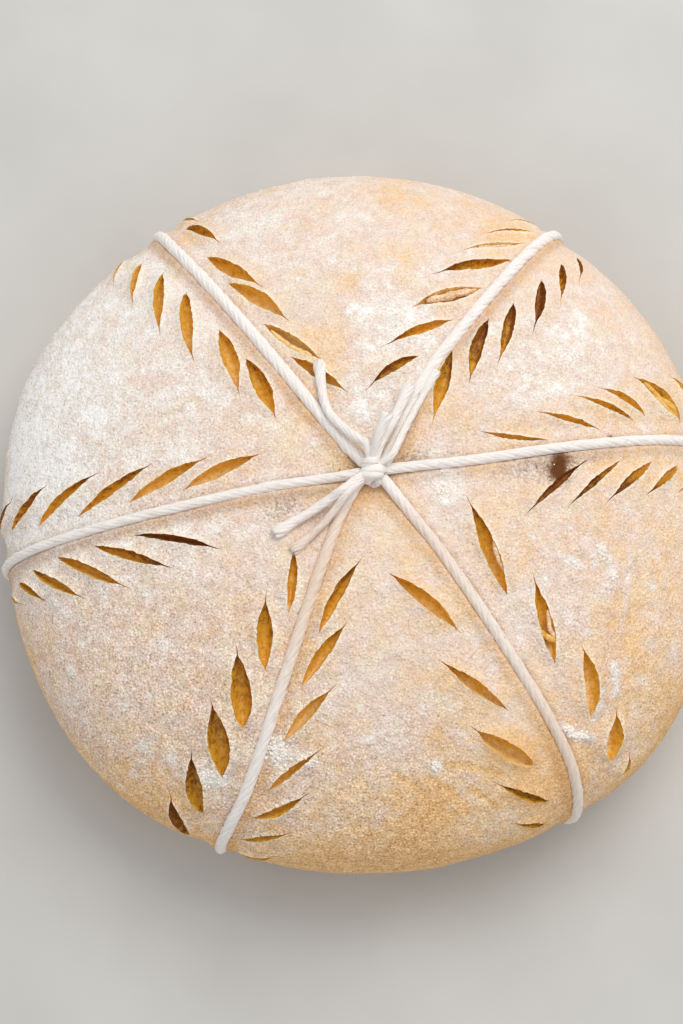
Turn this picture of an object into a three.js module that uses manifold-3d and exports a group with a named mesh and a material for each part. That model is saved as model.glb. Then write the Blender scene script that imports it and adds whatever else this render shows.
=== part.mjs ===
// A round sourdough loaf, tied with three strings into six lobes and scored beside each string.
// Millimetres, +Z up. The origin is the middle of the flat underside, and -Y is the near side.
import * as THREE from 'three';
import { mergeVertices } from 'three/addons/utils/BufferGeometryUtils.js';
import Module from 'manifold-3d';

const wasm = await Module();
wasm.setup();

// The loaf is a low dome, widest near its foot, with lobes that swell out further on some bearings
const loaf = { radius: 100, height: 70, widestAt: 25, baseRadius: 76, crownPower: 2.25, sides: 60 };
const loafRings = { crown: 12, foot: 4, base: 2, crownShare: 0.76 };
const swellings = [
  { bearing: 320, width: 24, share: 0.05 },
  { bearing: 228, width: 18, share: 0.026 },
  { bearing: 158, width: 18, share: 0.02 },
];

// Each string presses a soft valley into the skin and lies partly sunk along its bottom
const valley = { depth: 2, rimDepth: 1, halfWidth: 9 };
const string = { radius: 1.65, sunk: 0.9, gap: 0.42, sides: 8, steps: 46, spacing: 9, floorGap: 0.5 };
const crossing = { rise: 4.4, spread: 22, runs: 5, crowding: 1.5, slotDepth: 1 };

// The knot is a small barrel of wrapped string that leans away from the viewer
const knot = { u: 3.5, v: 0.7, radius: 3.4, length: 8.6, lift: 3.3, lean: 14, clear: 5.8 };
const knotBarrel = { sides: 12, rings: 8, bluntness: 0.35, wraps: 3, wrapDepth: 0.35 };
const knotDimple = { radius: 9, depth: 2.4, sides: 16, rings: 8 };
const knotRise = { height: 1.2, reach: 9 };

// Half strings by bearing from the knot, with their sideways drift at each of the drift stations
const driftStations = [0, 10, 28, 60, 90, 115, 150];
const halfStrings = {
  right: { bearing: 10, drift: [0, -0.2, -1, -0.6, -0.2, 0, 0] },
  upperRight: { bearing: 58, drift: [-1.5, -1.2, 2.1, 0.5, -2, -5, -8] },
  upperLeft: { bearing: 128, drift: [0, 0.8, 1, 0.8, 0.3, -1.5, -3] },
  left: { bearing: 190, drift: [0, -0.3, -1, -0.4, -0.2, -0.3, -0.3] },
  lowerLeft: { bearing: 248, drift: [-1.5, -3.4, -3.1, -1.2, 0, -2.5, -4] },
  lowerRight: { bearing: 306, drift: [1, 1.3, 1.9, 1, -0.8, -5.8, -10] },
};
const strings = [
  { name: 'string_1', ends: ['upperLeft', 'lowerRight'] },
  { name: 'string_2', ends: ['upperRight', 'lowerLeft'] },
  { name: 'string_3', ends: ['right', 'left'] },
];

// Six loose ends leave the knot: points on the flat skin, and how high the end stands above it
const tails = [
  { points: [[-4, -5], [-12, -10], [-22, -16]], lift: 0.5 },
  { points: [[-4, -6], [-11, -13], [-18, -19.5]], lift: 0.5 },
  { points: [[4, 5], [5, 9], [6.5, 15]], lift: 9 },
  { points: [[5, 6], [8.5, 14], [13.2, 24.5]], lift: 2.5 },
  { points: [[2, 7], [-1.2, 11.7], [-7.1, 18.3], [-9.7, 25.2], [-10.6, 31.5]], lift: 0.5 },
  { points: [[9, 4], [15, 13], [24.5, 29]], lift: 0.5 },
];
const tail = { radius: 1.5, lift: 4.4, steps: 6 };

// Rows of slashes, one row on each side of a half string (1 is its left, seen from the knot). Each size
// has its value at the knot's end of the row, at the row's middle and at the rim. A nudge moves single
// slashes along the string, since hands don't space them evenly.
const slashRows = [
  { string: 'upperLeft', side: 1, count: 6, along: [37.5, 72.5, 104],
    aside: [8, 12.5, 16], slant: [11, 31, 38], length: [18.5, 23, 12], gape: [4.1, 3.2, 1.4],
    nudge: [0, -2.4, 0, -1, -1, -1] },
  { string: 'upperLeft', side: -1, count: 6, along: [31, 66.5, 107],
    aside: [6.7, 7.2, 10], slant: [17, 14, 14], length: [17, 21.5, 12], gape: [2.8, 4.1, 1.8],
    nudge: [0, -2, 0, -2, 2, 0] },
  { string: 'left', side: -1, count: 6, along: [40, 77.5, 112],
    aside: [6.7, 9.2, 14], slant: [12, 21, 26], length: [21, 24.5, 14], gape: [3.1, 2.2, 2.6] },
  { string: 'left', side: 1, count: 6, along: [55, 86.5, 112],
    aside: [9, 11.5, 11], slant: [21, 35, 36], length: [22.5, 23, 7], gape: [2.1, 2.7, 1.4] },
  { string: 'lowerLeft', side: -1, count: 6, along: [35, 73.5, 109],
    aside: [6.2, 10.8, 14], slant: [13, 22, 30], length: [16, 20.5, 17], gape: [2.5, 5.6, 3.2] },
  { string: 'lowerLeft', side: 1, count: 7, along: [35, 82, 115],
    aside: [7, 9.7, 10.5], slant: [10, 29, 56], length: [20.5, 17.5, 12], gape: [3, 3, 1.3] },
  { string: 'lowerRight', side: -1, count: 5, along: [37.5, 78, 104],
    aside: [10.5, 14, 15.3], slant: [16, 27, 52], length: [23, 21.5, 11], gape: [3.9, 3.6, 1.1],
    nudge: [-1, 3.4, 0, 1.6, 0] },
  { string: 'lowerRight', side: 1, count: 5, along: [33.5, 75, 109],
    aside: [10.5, 13, 13.5], slant: [15, 23, 34], length: [23.5, 17, 7.5], gape: [3.6, 4, 2.2],
    nudge: [0, 1.8, 0, 0, -5.5] },
  { string: 'upperRight', side: 1, count: 7, along: [28, 69, 100],
    aside: [8.4, 8.3, 8.3], slant: [26, 36, 30], length: [16, 21.5, 12], gape: [2.2, 2.8, 1.1] },
  { string: 'upperRight', side: -1, count: 6, along: [33.5, 63, 92.5],
    aside: [4.6, 11.5, 13.3], slant: [15, 21, 31], length: [20, 19, 10.5], gape: [3.5, 3, 1.5],
    nudge: [-1.5, 0.8, -1.8, 0, 0.6, -1] },
  { string: 'right', side: 1, count: 6, along: [42, 70, 101],
    aside: [5, 11, 13], slant: [15, 30, 46], length: [17, 17, 20], gape: [1.4, 1.6, 4.4],
    nudge: [-1.9, 2.9, 3.1, -3.1, -2.5, 0] },
  { string: 'right', side: -1, count: 6, along: [49, 76, 103],
    aside: [9.8, 11, 12], slant: [29, 29, 30], length: [21.5, 16, 10], gape: [2.2, 2.2, 1.5] },
];
const slash = { depth: 3.2, rings: 4, sides: 4, bend: 0.6 };

const doughMaterial = new THREE.MeshStandardMaterial({ color: 0xe6d2b8, roughness: 0.92, metalness: 0 });
const stringMaterial = new THREE.MeshStandardMaterial({ color: 0xede3d6, roughness: 0.95, metalness: 0 });

// Half of the loaf's section, from the crown down the side to the edge of the flat base
class SideProfile extends THREE.Curve {
  getPoint(t, target = new THREE.Vector2()) {
    const angle = t * Math.PI;
    if (angle < Math.PI / 2) {
      const power = 2 / loaf.crownPower;
      const rise = (loaf.height - loaf.widestAt) * Math.cos(angle) ** power;
      return target.set(loaf.radius * Math.sin(angle) ** power, loaf.widestAt + rise);
    }
    const tuck = (loaf.radius - loaf.baseRadius) * Math.sin(angle);
    return target.set(loaf.baseRadius + tuck, loaf.widestAt * (1 + Math.cos(angle)));
  }
}
const sideProfile = new SideProfile();
const sideLength = sideProfile.getLength();
const stringLowest = string.radius + string.floorGap;
const normalStep = 0.5;

function profileAt(arc) {
  if (arc < sideLength) return sideProfile.getPointAt(arc / sideLength);
  return new THREE.Vector2(Math.max(loaf.baseRadius - (arc - sideLength), 0), 0);
}

// A half string's sideways drift, on a smooth curve through its values at the stations
function driftAt({ drift }, along) {
  const last = driftStations.length - 1;
  const place = THREE.MathUtils.clamp(along, driftStations[0], driftStations[last]);
  const after = Math.max(driftStations.findIndex((station) => station >= place), 1);
  const slopeAt = (index) => {
    const low = Math.max(index - 1, 0);
    const high = Math.min(index + 1, last);
    return (drift[high] - drift[low]) / (driftStations[high] - driftStations[low]);
  };
  const span = driftStations[after] - driftStations[after - 1];
  const t = (place - driftStations[after - 1]) / span;
  const ends = drift[after - 1] * (1 + 2 * t) * (1 - t) ** 2 + drift[after] * t * t * (3 - 2 * t);
  return ends + span * t * (1 - t) * (slopeAt(after - 1) * (1 - t) - slopeAt(after) * t);
}

// Place on the flat skin, relative to a half string: how far along it and how far to its left
function besideString(half, u, v) {
  const bearing = THREE.MathUtils.degToRad(half.bearing);
  const du = u - knot.u;
  const dv = v - knot.v;
  const along = du * Math.cos(bearing) + dv * Math.sin(bearing);
  const aside = dv * Math.cos(bearing) - du * Math.sin(bearing);
  return { along, aside: aside - driftAt(half, along) };
}

function flatPlace(half, along, aside) {
  const bearing = THREE.MathUtils.degToRad(half.bearing);
  const across = aside + driftAt(half, along);
  const u = knot.u + along * Math.cos(bearing) - across * Math.sin(bearing);
  const v = knot.v + along * Math.sin(bearing) + across * Math.cos(bearing);
  return [u, v];
}

// A point of the skin: u and v are laid flat around the crown, u to +X and v to +Y
function skinPoint(u, v) {
  const angle = Math.atan2(v, u);
  const profile = profileAt(Math.hypot(u, v));
  let reach = profile.x;
  for (const { bearing, width, share } of swellings) {
    const turn = angle * THREE.MathUtils.RAD2DEG - bearing + 180;
    const off = (THREE.MathUtils.euclideanModulo(turn, 360) - 180) / width;
    reach += profile.x * share * Math.exp(-off * off);
  }
  let level = 1;
  for (const half of Object.values(halfStrings)) {
    const { along, aside } = besideString(half, u, v);
    const distance = Math.hypot(aside, Math.min(along, 0));
    level *= 1 - Math.exp(-((distance / valley.halfWidth) ** 2));
  }
  const height = THREE.MathUtils.smoothstep(profile.y, loaf.widestAt, loaf.height);
  const depth = THREE.MathUtils.lerp(valley.rimDepth, valley.depth, height) * (1 - level);
  const fade = THREE.MathUtils.smoothstep(profile.y, 0, loaf.widestAt);
  const point = new THREE.Vector3(reach * Math.cos(angle), reach * Math.sin(angle), profile.y);
  const inward = new THREE.Vector3(0, 0, loaf.widestAt).sub(point).setLength(depth * fade);
  return point.add(inward);
}

function skinNormal(u, v) {
  const alongU = skinPoint(u + normalStep, v).sub(skinPoint(u - normalStep, v));
  const alongV = skinPoint(u, v + normalStep).sub(skinPoint(u, v - normalStep));
  return alongU.cross(alongV).normalize();
}

// Joining and cutting
function solidOf(geometry) {
  geometry.deleteAttribute('normal');
  geometry.deleteAttribute('uv');
  const merged = mergeVertices(geometry);
  const corners = merged.index.array;
  const triangles = [];
  for (let first = 0; first < corners.length; first += 3) {
    const [a, b, c] = corners.slice(first, first + 3);
    if (a !== b && b !== c && c !== a) triangles.push(a, b, c);
  }
  const vertProperties = new Float32Array(merged.attributes.position.array);
  const triVerts = new Uint32Array(triangles);
  return new wasm.Manifold(new wasm.Mesh({ numProp: 3, vertProperties, triVerts }));
}

function meshOf(name, solid, material) {
  const { vertProperties, triVerts } = solid.getMesh();
  const geometry = new THREE.BufferGeometry();
  geometry.setAttribute('position', new THREE.BufferAttribute(vertProperties, 3));
  geometry.setIndex(new THREE.BufferAttribute(triVerts, 1));
  geometry.computeVertexNormals();
  const mesh = new THREE.Mesh(geometry, material);
  mesh.name = name;
  return mesh;
}

function tubeAlong(points, radius, steps) {
  const corners = [];
  for (let corner = 0; corner < string.sides; corner += 1) {
    const angle = (2 * Math.PI * corner) / string.sides;
    corners.push(new THREE.Vector2(radius * Math.cos(angle), radius * Math.sin(angle)));
  }
  const extrudePath = new THREE.CatmullRomCurve3(points);
  return new THREE.ExtrudeGeometry(new THREE.Shape(corners), { extrudePath, steps });
}

// The bare loaf, as rings of skin from the middle of the base up to the crown
function bareLoaf() {
  const crownEdge = sideLength * loafRings.crownShare;
  const arcs = [];
  for (let ring = 0; ring < loafRings.base; ring += 1) {
    arcs.push(sideLength + loaf.baseRadius * (1 - ring / loafRings.base));
  }
  for (let ring = 0; ring < loafRings.foot; ring += 1) {
    arcs.push(THREE.MathUtils.lerp(sideLength, crownEdge, ring / loafRings.foot));
  }
  for (let ring = 0; ring <= loafRings.crown; ring += 1) {
    arcs.push(crownEdge * (1 - ring / loafRings.crown));
  }
  const geometry = new THREE.LatheGeometry(arcs.map(profileAt), loaf.sides);
  const { position } = geometry.attributes;
  for (let side = 0; side <= loaf.sides; side += 1) {
    const angle = (2 * Math.PI * (side % loaf.sides)) / loaf.sides;
    arcs.forEach((arc, ring) => {
      const point = skinPoint(arc * Math.sin(angle), arc * -Math.cos(angle));
      if (profileAt(arc).x === 0) point.setX(0).setY(0);
      position.setXYZ(side * arcs.length + ring, point.x, point.y, point.z);
    });
  }
  return solidOf(geometry);
}

// A half string from the knot down the side to the edge of the base, as points of its middle line
function halfRoute(half) {
  const points = [];
  for (let along = knot.clear; ; along += string.spacing) {
    const [u, v] = flatPlace(half, along, 0);
    if (Math.hypot(u, v) > sideLength) return points;
    const rise = knotRise.height * Math.exp(-((along / knotRise.reach) ** 2));
    const point = skinPoint(u, v).addScaledVector(skinNormal(u, v), string.radius - string.sunk + rise);
    points.push(point.setZ(Math.max(point.z, stringLowest)));
  }
}

// Under the loaf the strings run straight and cross at the middle, each above the one before
function underRoute(from, to, order) {
  const points = [];
  for (let run = -crossing.runs; run <= crossing.runs; run += 1) {
    const edge = run < 0 ? from : to;
    const share = (Math.abs(run) / (crossing.runs + 1)) ** crossing.crowding;
    const point = new THREE.Vector3(edge.x * share, edge.y * share, stringLowest);
    const away = Math.hypot(point.x, point.y) / crossing.spread;
    points.push(point.setZ(stringLowest + crossing.rise * order * Math.exp(-away * away)));
  }
  return points;
}

// The slot above a run of string under the loaf, open to the floor so that the dough closes over it
function slotSolid(points) {
  const width = 2 * (string.radius + string.gap);
  const outline = points.map((point) => new THREE.Vector2(Math.hypot(point.x, point.y), point.z));
  outline.push(new THREE.Vector2(0, -crossing.slotDepth));
  outline.unshift(new THREE.Vector2(outline[0].x, -crossing.slotDepth));
  const geometry = new THREE.ExtrudeGeometry(new THREE.Shape(outline), { depth: width, bevelEnabled: false });
  geometry.translate(0, 0, -width / 2);
  const run = new THREE.Vector3(points[0].x, points[0].y, 0).normalize();
  const up = new THREE.Vector3(0, 0, 1);
  geometry.applyMatrix4(new THREE.Matrix4().makeBasis(run, up, run.clone().cross(up)));
  return solidOf(geometry);
}

function stringSolids({ ends }, order) {
  const [down, up] = ends.map((end) => halfRoute(halfStrings[end]));
  const under = underRoute(down.at(-1), up.at(-1), order);
  const route = [...down, ...under, ...up.toReversed()];
  const body = solidOf(tubeAlong(route, string.radius, string.steps));
  const downSlot = slotSolid([down.at(-1), ...under.slice(0, crossing.runs + 1)]);
  const upSlot = slotSolid([up.at(-1), ...under.slice(crossing.runs).toReversed()]);
  const groove = solidOf(tubeAlong(route, string.radius + string.gap, string.steps));
  return { body, groove: groove.add(downSlot).add(upSlot) };
}

// A slash is a pointed spindle let into the skin, its far end close to the string
function betweenThree([first, middle, last], share) {
  if (share < 0.5) return THREE.MathUtils.lerp(first, middle, share * 2);
  return THREE.MathUtils.lerp(middle, last, share * 2 - 1);
}

function slashSolid(row, number) {
  const half = halfStrings[row.string];
  const share = number / (row.count - 1);
  const along = betweenThree(row.along, share) + (row.nudge?.[number] ?? 0);
  const aside = row.side * betweenThree(row.aside, share);
  const slant = THREE.MathUtils.degToRad(betweenThree(row.slant, share));
  const halfLength = betweenThree(row.length, share) / 2;
  const halfGape = betweenThree(row.gape, share) / 2;
  const outward = halfLength * Math.cos(slant);
  const inward = -row.side * halfLength * Math.sin(slant);
  const middle = skinPoint(...flatPlace(half, along, aside));
  const nearEnd = skinPoint(...flatPlace(half, along - outward, aside - inward));
  const farEnd = skinPoint(...flatPlace(half, along + outward, aside + inward));
  const run = farEnd.clone().sub(nearEnd).normalize();
  const normal = skinNormal(...flatPlace(half, along, aside));
  const across = run.clone().cross(normal).normalize();
  const outwards = across.clone().cross(run);
  const centre = nearEnd.add(farEnd).multiplyScalar(0.5).lerp(middle, slash.bend);
  const profile = [];
  for (let ring = 0; ring <= slash.rings; ring += 1) {
    const place = (2 * ring) / slash.rings - 1;
    profile.push(new THREE.Vector2(1 - place * place, place * halfLength));
  }
  const geometry = new THREE.LatheGeometry(profile, slash.sides);
  geometry.scale(halfGape, 1, slash.depth);
  geometry.applyMatrix4(new THREE.Matrix4().makeBasis(across, run, outwards).setPosition(centre));
  return solidOf(geometry);
}

// The knot: a waisted barrel with six loose ends that lie on the skin or stand off it
function knotCentre() {
  return skinPoint(knot.u, knot.v).addScaledVector(skinNormal(knot.u, knot.v), knot.lift);
}

function knotSolid() {
  const { rings, sides, bluntness, wraps, wrapDepth } = knotBarrel;
  const profile = [];
  for (let ring = 0; ring <= rings; ring += 1) {
    const place = (2 * ring) / rings - 1;
    const radius = knot.radius - wrapDepth * Math.cos(wraps * Math.PI * place);
    const taper = (1 - place * place) ** bluntness;
    profile.push(new THREE.Vector2(radius * taper, (place * knot.length) / 2));
  }
  const geometry = new THREE.LatheGeometry(profile, sides);
  geometry.rotateX(THREE.MathUtils.degToRad(knot.lean));
  const centre = knotCentre();
  geometry.translate(centre.x, centre.y, centre.z);
  let body = solidOf(geometry);
  for (const { points, lift } of tails) body = body.add(tailSolid(points, lift));
  return body;
}

function tailSolid(points, lift) {
  const stops = new THREE.SplineCurve(points.map(([u, v]) => new THREE.Vector2(u, v)));
  const route = [knotCentre()];
  for (const place of stops.getPoints(tail.steps)) {
    const share = (route.length - 1) / tail.steps;
    const height = tail.radius + THREE.MathUtils.lerp(tail.lift, lift, share);
    const normal = skinNormal(place.x, place.y);
    route.push(skinPoint(place.x, place.y).addScaledVector(normal, height));
  }
  return solidOf(tubeAlong(route, tail.radius, tail.steps + 2));
}

const group = new THREE.Group();
let dough = bareLoaf();
strings.forEach((entry, order) => {
  const { body, groove } = stringSolids(entry, order);
  group.add(meshOf(entry.name, body, stringMaterial));
  dough = dough.subtract(groove);
});
slashRows.forEach((row) => {
  for (let number = 0; number < row.count; number += 1) {
    dough = dough.subtract(slashSolid(row, number));
  }
});
const dimple = new THREE.SphereGeometry(1, knotDimple.sides, knotDimple.rings);
dimple.scale(knotDimple.radius, knotDimple.radius, knotDimple.depth);
dimple.translate(...skinPoint(knot.u, knot.v).toArray());
dough = dough.subtract(solidOf(dimple));
group.add(meshOf('dough', dough, doughMaterial));
group.add(meshOf('knot', knotSolid(), stringMaterial));

export default group;
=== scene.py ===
# A round sourdough loaf before baking: floured dough, tied into lobes with string and scored beside it
import math

import bpy
import numpy as np
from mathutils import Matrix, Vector, kdtree
from mathutils.geometry import delaunay_2d_cdt


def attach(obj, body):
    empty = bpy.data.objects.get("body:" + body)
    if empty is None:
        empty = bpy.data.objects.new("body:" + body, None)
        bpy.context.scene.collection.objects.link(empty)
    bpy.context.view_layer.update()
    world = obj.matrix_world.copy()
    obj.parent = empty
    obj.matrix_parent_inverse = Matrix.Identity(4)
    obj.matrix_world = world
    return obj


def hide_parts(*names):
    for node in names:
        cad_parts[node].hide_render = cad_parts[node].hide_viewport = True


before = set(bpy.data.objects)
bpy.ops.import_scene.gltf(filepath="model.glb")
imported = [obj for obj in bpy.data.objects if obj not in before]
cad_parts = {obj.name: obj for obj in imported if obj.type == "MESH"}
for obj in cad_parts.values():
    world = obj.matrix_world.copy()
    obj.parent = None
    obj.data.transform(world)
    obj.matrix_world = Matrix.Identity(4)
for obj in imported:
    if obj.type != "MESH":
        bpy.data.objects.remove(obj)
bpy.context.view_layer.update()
metresPerMm = 0.001        # everything below is worked out in millimetres
print("frame loaded:", ", ".join(sorted(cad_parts)))


# Small helpers

def smoothStep(value, low, high):
    share = np.clip((value - low) / (high - low), 0, 1)
    return share * share * (3 - 2 * share)


bellReach = 3        # widths at which a bell has faded out


def bell(distance, width):        # 1 at no distance, fading out over the width
    return np.exp(-((distance / width) ** 2))


def unit(vectors):
    return vectors / np.maximum(np.linalg.norm(vectors, axis=-1, keepdims=True), 1e-9)


# Turned between layers, so that no lumps line up with the axes
oddTurn = np.array([[0.36, 0.48, -0.8], [-0.8, 0.6, 0], [0.48, 0.64, 0.6]])
lumpLayers = [(1, 0.85), (0.43, 0.4)]        # share of the size, and strength


def lumps(points, size, seed):        # smooth noise from about -1 to 1, in lumps of about this size
    cells = 32
    lattice = np.random.default_rng(seed).uniform(-1, 1, (cells, cells, cells))
    total = np.zeros(len(points))
    turned = points
    for scale, strength in lumpLayers:
        turned = turned @ oddTurn
        place = turned / (size * scale)
        low = np.floor(place).astype(int)
        share = place - low
        share = share * share * (3 - 2 * share)
        for corner in np.ndindex(2, 2, 2):
            weight = np.prod(np.where(corner, share, 1 - share), axis=1)
            total += strength * weight * lattice[tuple(((low + corner) % cells).T)]
    return total


def hexGrid(spacing, inner, outer):        # points of a honeycomb between two rings around the crown
    count = int(outer / spacing) + 2
    column, row = np.meshgrid(np.arange(-count, count + 1), np.arange(-count * 2, count * 2 + 1))
    across = (column + (row % 2) / 2) * spacing
    grid = np.stack([across, row * spacing * math.sqrt(0.75)], -1).reshape(-1, 2)
    arc = np.hypot(*grid.T)
    return grid[(arc >= inner) & (arc < outer)]


def apartFrom(candidates, taken, distance):        # which candidates lie clear of the points taken
    tree = kdtree.KDTree(len(taken))
    for index, point in enumerate(taken):
        tree.insert((*point, 0), index)
    tree.balance()
    return np.array([tree.find((*point, 0))[2] > distance for point in candidates], bool)


def triangulate(points, edges):
    found = delaunay_2d_cdt([Vector(point) for point in points], edges, [], 0, 1e-7)
    return np.array([sources[0] for sources in found[3]])[np.array(found[2])]


def makePiece(name, points, faces, material, node=None):
    mesh = bpy.data.meshes.new(name)
    mesh.from_pydata((points * metresPerMm).tolist(), [], faces)
    mesh.shade_smooth()
    mesh.materials.append(material)
    piece = bpy.data.objects.new(name, mesh)
    bpy.context.scene.collection.objects.link(piece)
    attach(piece, "root")
    if node:
        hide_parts(node)
    return piece


def paint(piece, name, values):        # a number or a vector at each point, for the material to read
    kind, key = ("FLOAT", "value") if values.ndim == 1 else ("FLOAT_VECTOR", "vector")
    piece.data.attributes.new(name, kind, "POINT").data.foreach_set(key, values.astype(np.float32).ravel())


# The loaf's form: a low dome with lobes, and a valley under each string

loaf = {
    "radius": 100, "height": 70, "widestAt": 25, "baseRadius": 76, "crownPower": 2.25,
    "profilePoints": 4001,
    "swellings": [(320, 24, 0.05), (228, 18, 0.026), (158, 18, 0.02)],        # bearing, width, growth
    "valleyDepth": 2, "valleyRimDepth": 1, "valleyHalfWidth": 9, "normalStep": 0.5,
}
knotPlace = np.array([3.5, 0.7])        # where the strings meet, on the flat skin
driftStations = np.array([0, 10, 28, 60, 90, 115, 150])        # mm from the knot
halfStrings = {        # bearing from the knot, and the drift to the left at each station
    "right": {"bearing": 10, "drift": [0, -0.2, -1, -0.6, -0.2, 0, 0]},
    "upperRight": {"bearing": 58, "drift": [-1.5, -1.2, 2.1, 0.5, -2, -5, -8]},
    "upperLeft": {"bearing": 128, "drift": [0, 0.8, 1, 0.8, 0.3, -1.5, -3]},
    "left": {"bearing": 190, "drift": [0, -0.3, -1, -0.4, -0.2, -0.3, -0.3]},
    "lowerLeft": {"bearing": 248, "drift": [-1.5, -3.4, -3.1, -1.2, 0, -2.5, -4]},
    "lowerRight": {"bearing": 306, "drift": [1, 1.3, 1.9, 1, -0.8, -5.8, -10]},
}


def sideProfile():        # half of the section, from the crown down to the edge of the base
    turn = np.linspace(0, math.pi, loaf["profilePoints"])
    power = 2 / loaf["crownPower"]
    sine, cosine = np.sin(turn), np.cos(turn)
    tuck = loaf["baseRadius"] + (loaf["radius"] - loaf["baseRadius"]) * sine
    dome = loaf["widestAt"] + (loaf["height"] - loaf["widestAt"]) * np.abs(cosine) ** power
    reach = np.where(cosine > 0, loaf["radius"] * sine ** power, tuck)
    level = np.where(cosine > 0, dome, loaf["widestAt"] * (1 + cosine))
    steps = np.hypot(np.diff(reach), np.diff(level))
    return np.concatenate([[0], np.cumsum(steps)]), reach, level


profileArc, profileReach, profileLevel = sideProfile()
sideLength = profileArc[-1]


def driftAt(half, along):        # a smooth curve through the values at the stations
    values = np.array(half["drift"], float)
    last = len(values) - 1
    low = np.maximum(np.arange(last + 1) - 1, 0)
    high = np.minimum(np.arange(last + 1) + 1, last)
    slopes = (values[high] - values[low]) / (driftStations[high] - driftStations[low])
    place = np.clip(along, driftStations[0], driftStations[-1])
    after = np.clip(np.searchsorted(driftStations, place), 1, last)
    span = driftStations[after] - driftStations[after - 1]
    share = (place - driftStations[after - 1]) / span
    ends = values[after - 1] * (1 + 2 * share) * (1 - share) ** 2
    ends = ends + values[after] * share ** 2 * (3 - 2 * share)
    return ends + span * share * (1 - share) * (slopes[after - 1] * (1 - share) - slopes[after] * share)


def besideString(half, flat):        # how far along a half string, and how far to its left
    bearing = math.radians(half["bearing"])
    du, dv = (flat - knotPlace).T
    along = du * math.cos(bearing) + dv * math.sin(bearing)
    return along, dv * math.cos(bearing) - du * math.sin(bearing) - driftAt(half, along)


def flatPlace(half, along, aside):        # the other way round
    bearing = math.radians(half["bearing"])
    across = aside + driftAt(half, along)
    u = knotPlace[0] + along * math.cos(bearing) - across * math.sin(bearing)
    v = knotPlace[1] + along * math.sin(bearing) + across * math.cos(bearing)
    return np.stack([u, v], -1)


def stringDistance(flat):        # to the nearest string
    nearest = np.full(len(flat), np.inf)
    for half in halfStrings.values():
        along, aside = besideString(half, flat)
        nearest = np.minimum(nearest, np.hypot(aside, np.minimum(along, 0)))
    return nearest


def skinPoints(flat):        # flat places, laid out around the crown, to points of the smooth skin
    bearing = np.arctan2(flat[:, 1], flat[:, 0])
    arc = np.hypot(*flat.T)
    reach = np.interp(arc, profileArc, profileReach)
    level = np.interp(arc, profileArc, profileLevel)
    swell = np.ones(len(flat))
    for middle, width, share in loaf["swellings"]:
        swell += share * bell((np.degrees(bearing) - middle + 180) % 360 - 180, width)
    ridge = np.ones(len(flat))
    for half in halfStrings.values():
        along, aside = besideString(half, flat)
        ridge *= 1 - bell(np.hypot(aside, np.minimum(along, 0)), loaf["valleyHalfWidth"])
    rise = smoothStep(level, loaf["widestAt"], loaf["height"])
    depth = loaf["valleyRimDepth"] + (loaf["valleyDepth"] - loaf["valleyRimDepth"]) * rise
    depth = depth * (1 - ridge) * smoothStep(level, 0, loaf["widestAt"])
    point = np.stack([reach * swell * np.cos(bearing), reach * swell * np.sin(bearing), level], 1)
    return point + unit(np.array([0, 0, loaf["widestAt"]]) - point) * depth[:, None]


def skinNormals(flat):        # which way the smooth skin faces
    step = loaf["normalStep"]
    alongU = skinPoints(flat + [step, 0]) - skinPoints(flat - [step, 0])
    alongV = skinPoints(flat + [0, step]) - skinPoints(flat - [0, step])
    return unit(np.cross(alongU, alongV))


# The cuts: rows of slashes beside each half string, each size at the knot's end, the middle and the rim

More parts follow.
